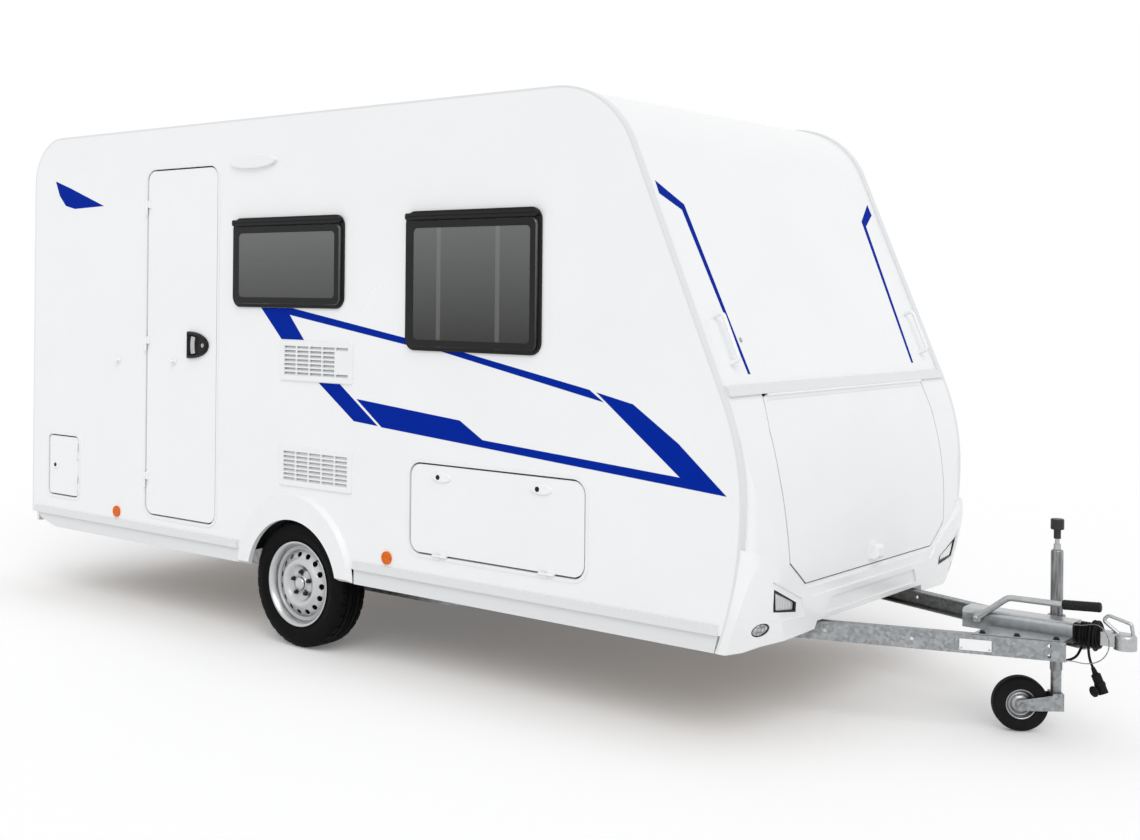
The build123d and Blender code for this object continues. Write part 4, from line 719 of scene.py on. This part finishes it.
# Handbrake lever: a bent steel tube on a pivot boss beside the housing, zinc plated. A ribbed black grip is
# pushed over its end.
lever_route = [(3002, -70, 445), (3060, -70, 489), (3108, -70, 527), (3132, -70, 545), (3162, -70, 546),
               (3240, -69, 547), (3343, -68, 548), (3400, -65, 551), (3472, -61, 555)]
lever = round_line("handbrake_lever", lever_route, 0.025, zinc)
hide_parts("handbrake")
boss = ((19, 0), (19, 26), (11, 27), (11, 34), (9, 36), (0.5, 36))
lathe("handbrake_pivot", boss, 32, at(3002, -48, 445), rightward, zinc, "caravan")
grip_start, grip_end = Vector((3343, -68, 548)), Vector((3482, -60, 556))
grip_way = (grip_end - grip_start).normalized()
rib_r, groove_r, rib_pitch = 19.5, 18.4, 8.6
ribs = [(13, 0), (17, 2), (rib_r, 6), (rib_r, 12)]
for rib in range(14):
    start = rib * rib_pitch
    ribs += [(groove_r, 13.5 + start), (groove_r, 15.5 + start), (rib_r, 17 + start), (rib_r, 20.5 + start)]
ribs += [(rib_r, 138), (17, 143), (12, 145), (0.5, 145.5)]
lathe("handbrake_grip", ribs, 32, at(*grip_start), grip_way, nylon, "caravan")

# Nose-wheel crank: a bent steel handle with a black knob, pinned to the screw in the top of the tube. The knob
# starts at one height, and below it the steel is bare and bright.
knob_foot = 0.776
crank, tree, shader, place = start_material("knob_on_steel_crank", {"Roughness": 0.4})
height = add_node(tree, "SeparateXYZ", {"Vector": place})
split = add_node(tree, "Math", {0: height.outputs["Z"], 1: knob_foot}, operation="LESS_THAN")
steel = add_node(tree, "ValToRGB", {"Fac": split.outputs["Value"]}, ramp={0: "#151516", 1: "#b4b6b8"})
fill_sockets(shader, {"Base Color": steel.outputs["Color"], "Metallic": split.outputs["Value"]})
finish_with(crank, "leg_crank")

# Road wheels: steel discs pressed in waves and punched, welded into rolled rims and held by five bolts. They
# are sprayed in silver stove enamel, whose fine metal flake glints unevenly.
enamel, tree, shader, place = start_material("silver_stove_enamel", {
    "Metallic": 0.85, "Coat Weight": 0.3, "Coat Roughness": 0.1})
flake = add_node(tree, "TexNoise", {"Vector": place, "Scale": per_mm(2), "Detail": 2.0})
silver = add_node(tree, "ValToRGB", {"Fac": flake.outputs["Fac"]}, ramp={0: "#b1b3b5", 1: "#d9dbdc"})
sparkle = add_node(tree, "MapRange", {"Value": flake.outputs["Fac"], "To Min": 0.24, "To Max": 0.34})
# ambient occlusion darkens the hollows of the pressing: painted shade
painted_hollow_shade = add_node(tree, "AmbientOcclusion", {"Color": silver.outputs["Color"], "Distance": 0.045})
fill_sockets(shader, {"Base Color": painted_hollow_shade.outputs["Color"], "Roughness": sparkle.outputs["Result"]})


def turned(name, section, around, hub, outward, material, body):
    # a closed section turned about a wheel's axis: radius, distance in from the hub point and,
    # where every sixth step is cut back, how deep
    points, faces = [], []
    rows = len(section)
    across = outward.cross(Vector((0, 0, 1)))
    for step in range(around):
        angle = 2 * pi * step / around
        after = (step + 1) % around
        for row, (radius, inward, *cut) in enumerate(section):
            r = radius - (sum(cut) if step % 6 == 0 else 0)
            spoke = across * r * cos(angle) + Vector((0, 0, r * sin(angle)))
            points.append(hub + (spoke - outward * inward) / 1000)
            up = (row + 1) % rows
            faces.append((step * rows + row, step * rows + up, after * rows + up, after * rows + row))
    return add_piece(name, points, faces, material, body, smooth=True)


wheel_r, tyre_face = 311, 1020
hole_count, hole_steps, hole_ring, hole_half_r, hole_half_along = 15, 20, 141, 12, 14.5
bolt_ring, valve_at, disc_thick = 56, 126, 6
barrel = [(207, 5), (207, 10), (200, 11), (197, 17), (190, 25), (187, 40), (187, 140), (191, 158), (199, 168),
          (207, 172), (207, 181), (203, 181), (196, 173), (187, 161), (182, 142), (182, 42), (184, 29),
          (191, 19), (195, 10), (201, 5)]
face = [(184, 40), (178, 42), (173, 47), (169, 50), (164, 49), (158, 45), (148, 38.5), (138, 33), (130, 29),
        (124, 25.5), (118, 20.5), (112, 16.5), (105, 15), (98, 16.5), (91, 21), (85, 26.5), (79, 31),
        (74, 33.5), (66, 34.5), (46, 34), (41, 30), (38, 26), (33, 25)]
drum = [(36, 62), (114, 62), (118, 66), (118, 98), (164, 100), (164, 105), (118, 107), (118, 122), (59, 128),
        (36, 128)]
wheel_bolt = ((12, 0), (12, 3), (9.5, 4), (9.5, 13), (7.5, 15), (0.4, 15))
cap_dome = ((32, 0), (32, 3), (30, 7), (22, 11), (12, 13), (0.5, 13.6))
valve = ((5, 0), (5, 4), (3.5, 6), (3.5, 22), (4.2, 23), (4.2, 30), (0.4, 31))
for side, body in ((-1, "right_wheel"), (1, "left_wheel")):
    out = Vector((0, side, 0))
    hub = at(0, side * tyre_face, wheel_r)
    rim = turned("rim_barrel_" + body, barrel, 120, hub, out, enamel, body)
    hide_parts("right_rim" if side < 0 else "left_rim")
    back = [(r, d + disc_thick) for r, d in reversed(face)]
    pressing = turned("rim_disc_" + body, face + back, 120, hub, out, enamel, body)
    turned("brake_drum_" + body, drum, 72, hub, out, iron, body)
    # oval holes are punched through the disc's outer flank
    points, faces = [], []
    for number in range(hole_count):
        turn = 2 * pi * number / hole_count
        first = len(points)
        for inward in (10, 60):
            for step in range(hole_steps):
                angle = 2 * pi * step / hole_steps
                r, along = hole_ring + hole_half_r * cos(angle), hole_half_along * sin(angle)
                points.append(at(r * cos(turn) - along * sin(turn), side * (tyre_face - inward),
                                 wheel_r + r * sin(turn) + along * cos(turn)))
        near = [first + i for i in range(hole_steps)]
        far = [i + hole_steps for i in near]
        faces += [(near[i - 1], near[i], far[i], far[i - 1]) for i in range(1, hole_steps)]
        faces += [(near[-1], near[0], far[0], far[-1]), tuple(near), tuple(reversed(far))]
    tool = put_in_scene("punch", closed_mesh("punch", points, faces))
    cut = pressing.modifiers.new("holes", "BOOLEAN")
    cut.object, cut.operation, cut.solver = tool, "DIFFERENCE", "EXACT"
    punched = bpy.data.meshes.new_from_object(pressing.evaluated_get(bpy.context.evaluated_depsgraph_get()))
    pressing.modifiers.clear()
    pressing.data = punched
    bpy.data.objects.remove(tool)
    # the wheel bolts are dark iron, and their dark also stands in for the shade in their recessed seats: painted
    # shade
    for number in range(5):
        angle = radians(72 * number + 90)
        lathe("wheel_bolt_%s_%d" % (body, number), wheel_bolt, 6,
              at(bolt_ring * cos(angle), side * 986, wheel_r + bolt_ring * sin(angle)), out,
              iron, body)
    lathe("hub_cap_" + body, cap_dome, 40, at(0, side * 994, wheel_r), out, enamel, body)
    lathe("valve_" + body, valve, 14, at(valve_at, side * 978, wheel_r + valve_at), out, nylon, body)

# Nose-wheel rim: two deep steel pressings welded back to back on a bush, in the same silver enamel as the
# road wheels. The solid tyre is pressed on to it.
half_rim = [(62, 0), (62, 23), (60, 25), (57, 25), (54, 22), (51, 8), (47, 5), (41, 5), (36, 9), (31, 14),
            (24, 15), (21, 17), (20, 24), (9.5, 24)]
section = [(r, -d) for r, d in half_rim] + list(reversed(half_rim[1:]))
nose_turn = radians(34)
axle_way = Vector((-sin(nose_turn), cos(nose_turn), 0))
nose_hub = at(3146.93, 23.71, 110)
rim = turned("nose_rim_pressing", section, 80, nose_hub, -axle_way, enamel, "nose_wheel")
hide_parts("nose_rim")

# Road tyres: 185 mm wide radial tyres. Four grooves run round the tread, and short cuts cross its
# shoulders; raised rings mark the sidewall. The rubber is dull black, greyer where dust lies.
tread_rubber, tree, shader, place = start_material("tyre_rubber", {
    "IOR": 1.52, "Roughness": 0.6, "Specular IOR Level": 0.08})
dust = add_node(tree, "TexNoise", {"Vector": place, "Scale": per_mm(60), "Detail": 5.0})
black = add_node(tree, "ValToRGB", {"Fac": dust.outputs["Fac"]}, ramp={0: "#050506", 1: "#101011"})
skin = add_node(tree, "Bump", {"Height": dust.outputs["Fac"], "Strength": 0.2, "Distance": 0.0005})
fill_sockets(shader, {"Base Color": black.outputs["Color"], "Normal": skin.outputs["Normal"]})
tyre_w = 185
half_tread = [(196, 20), (206, 13), (214, 9), (216, 7), (220, 7), (222, 5.5), (240, 1.5), (244, 1.5),
              (246, 0.2), (256, 0.2), (258, 1.5), (270, 2), (284, 5), (292, 9, 2), (299, 13.5, 4),
              (305, 19, 5), (308.5, 26, 6), (309.8, 38, 6), (310.2, 46, 6), (303, 47), (303, 53), (310.6, 54),
              (310.9, 66, 2), (311, 78, 2), (303, 79), (303, 86), (311, 87), (311, 92.5)]
tread = half_tread + [(r, tyre_w - d, *cut) for r, d, *cut in reversed(half_tread[:-1])]
for side, body, node in ((-1, "right_wheel", "right_tyre"), (1, "left_wheel", "left_tyre")):
    tyre = turned(body + "_tyre_tread", tread, 192, at(0, side * tyre_face, wheel_r), Vector((0, side, 0)),
                  tread_rubber, body)
    for polygon in tyre.data.polygons:
        polygon.use_smooth = False
    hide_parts(node)

# Studio: a wide pale floor, an even white sky and one large soft lamp high on the camera's side.
# The camera, metal and glass all see a plain white background; the floor keeps the shadow.
plain_white = (1.0, 1.0, 1.0, 1.0)
floor_lift, sky_light, sky_seen = 0.13, 0.72, 1.0
floor_white = bpy.data.materials.new("studio_floor")
floor_white.use_nodes = True
tree = floor_white.node_tree
shader = tree.nodes["Principled BSDF"]
rays = add_node(tree, "LightPath", {})
shown = add_node(tree, "Math", {0: rays.outputs["Is Camera Ray"], 1: rays.outputs["Is Glossy Ray"]},
                 operation="MAXIMUM")
lift = add_node(tree, "Math", {0: shown.outputs["Value"], 1: floor_lift}, operation="MULTIPLY")
fill_sockets(shader, {"Base Color": srgb("#f7f7f7"), "Roughness": 0.9, "Specular IOR Level": 0.0,
                      "Emission Color": plain_white, "Emission Strength": lift.outputs["Value"]})
reach, below = 60.0, -0.001
corners = [(-reach, -reach, below), (reach, -reach, below), (reach, reach, below), (-reach, reach, below)]
ground = bpy.data.meshes.new("studio_floor")
ground.from_pydata(corners, [], [(0, 1, 2, 3)])
ground.materials.append(floor_white)
floor = put_in_scene("studio_floor", ground)
world = bpy.data.worlds.new("studio_sky")
bpy.context.scene.world = world
world.use_nodes = True
tree = world.node_tree
sky = tree.nodes["Background"]
rays = add_node(tree, "LightPath", {})
seen = add_node(tree, "Math", {0: rays.outputs["Is Camera Ray"], 1: rays.outputs["Is Glossy Ray"]},
                operation="MAXIMUM")
shown = add_node(tree, "Math", {0: seen.outputs["Value"], 1: rays.outputs["Is Transmission Ray"]},
                 operation="MAXIMUM")
strength = add_node(tree, "MapRange", {"Value": shown.outputs["Value"], "To Min": sky_light, "To Max": sky_seen})
fill_sockets(sky, {"Color": plain_white, "Strength": strength.outputs["Result"]})
lamp = bpy.data.lights.new("soft_lamp", "SUN")
lamp.energy = 1.0
lamp.angle = radians(40)
soft = put_in_scene("soft_lamp", lamp)
soft.rotation_euler = (radians(48), 0, radians(42))
bpy.context.scene.view_settings.view_transform = "Standard"
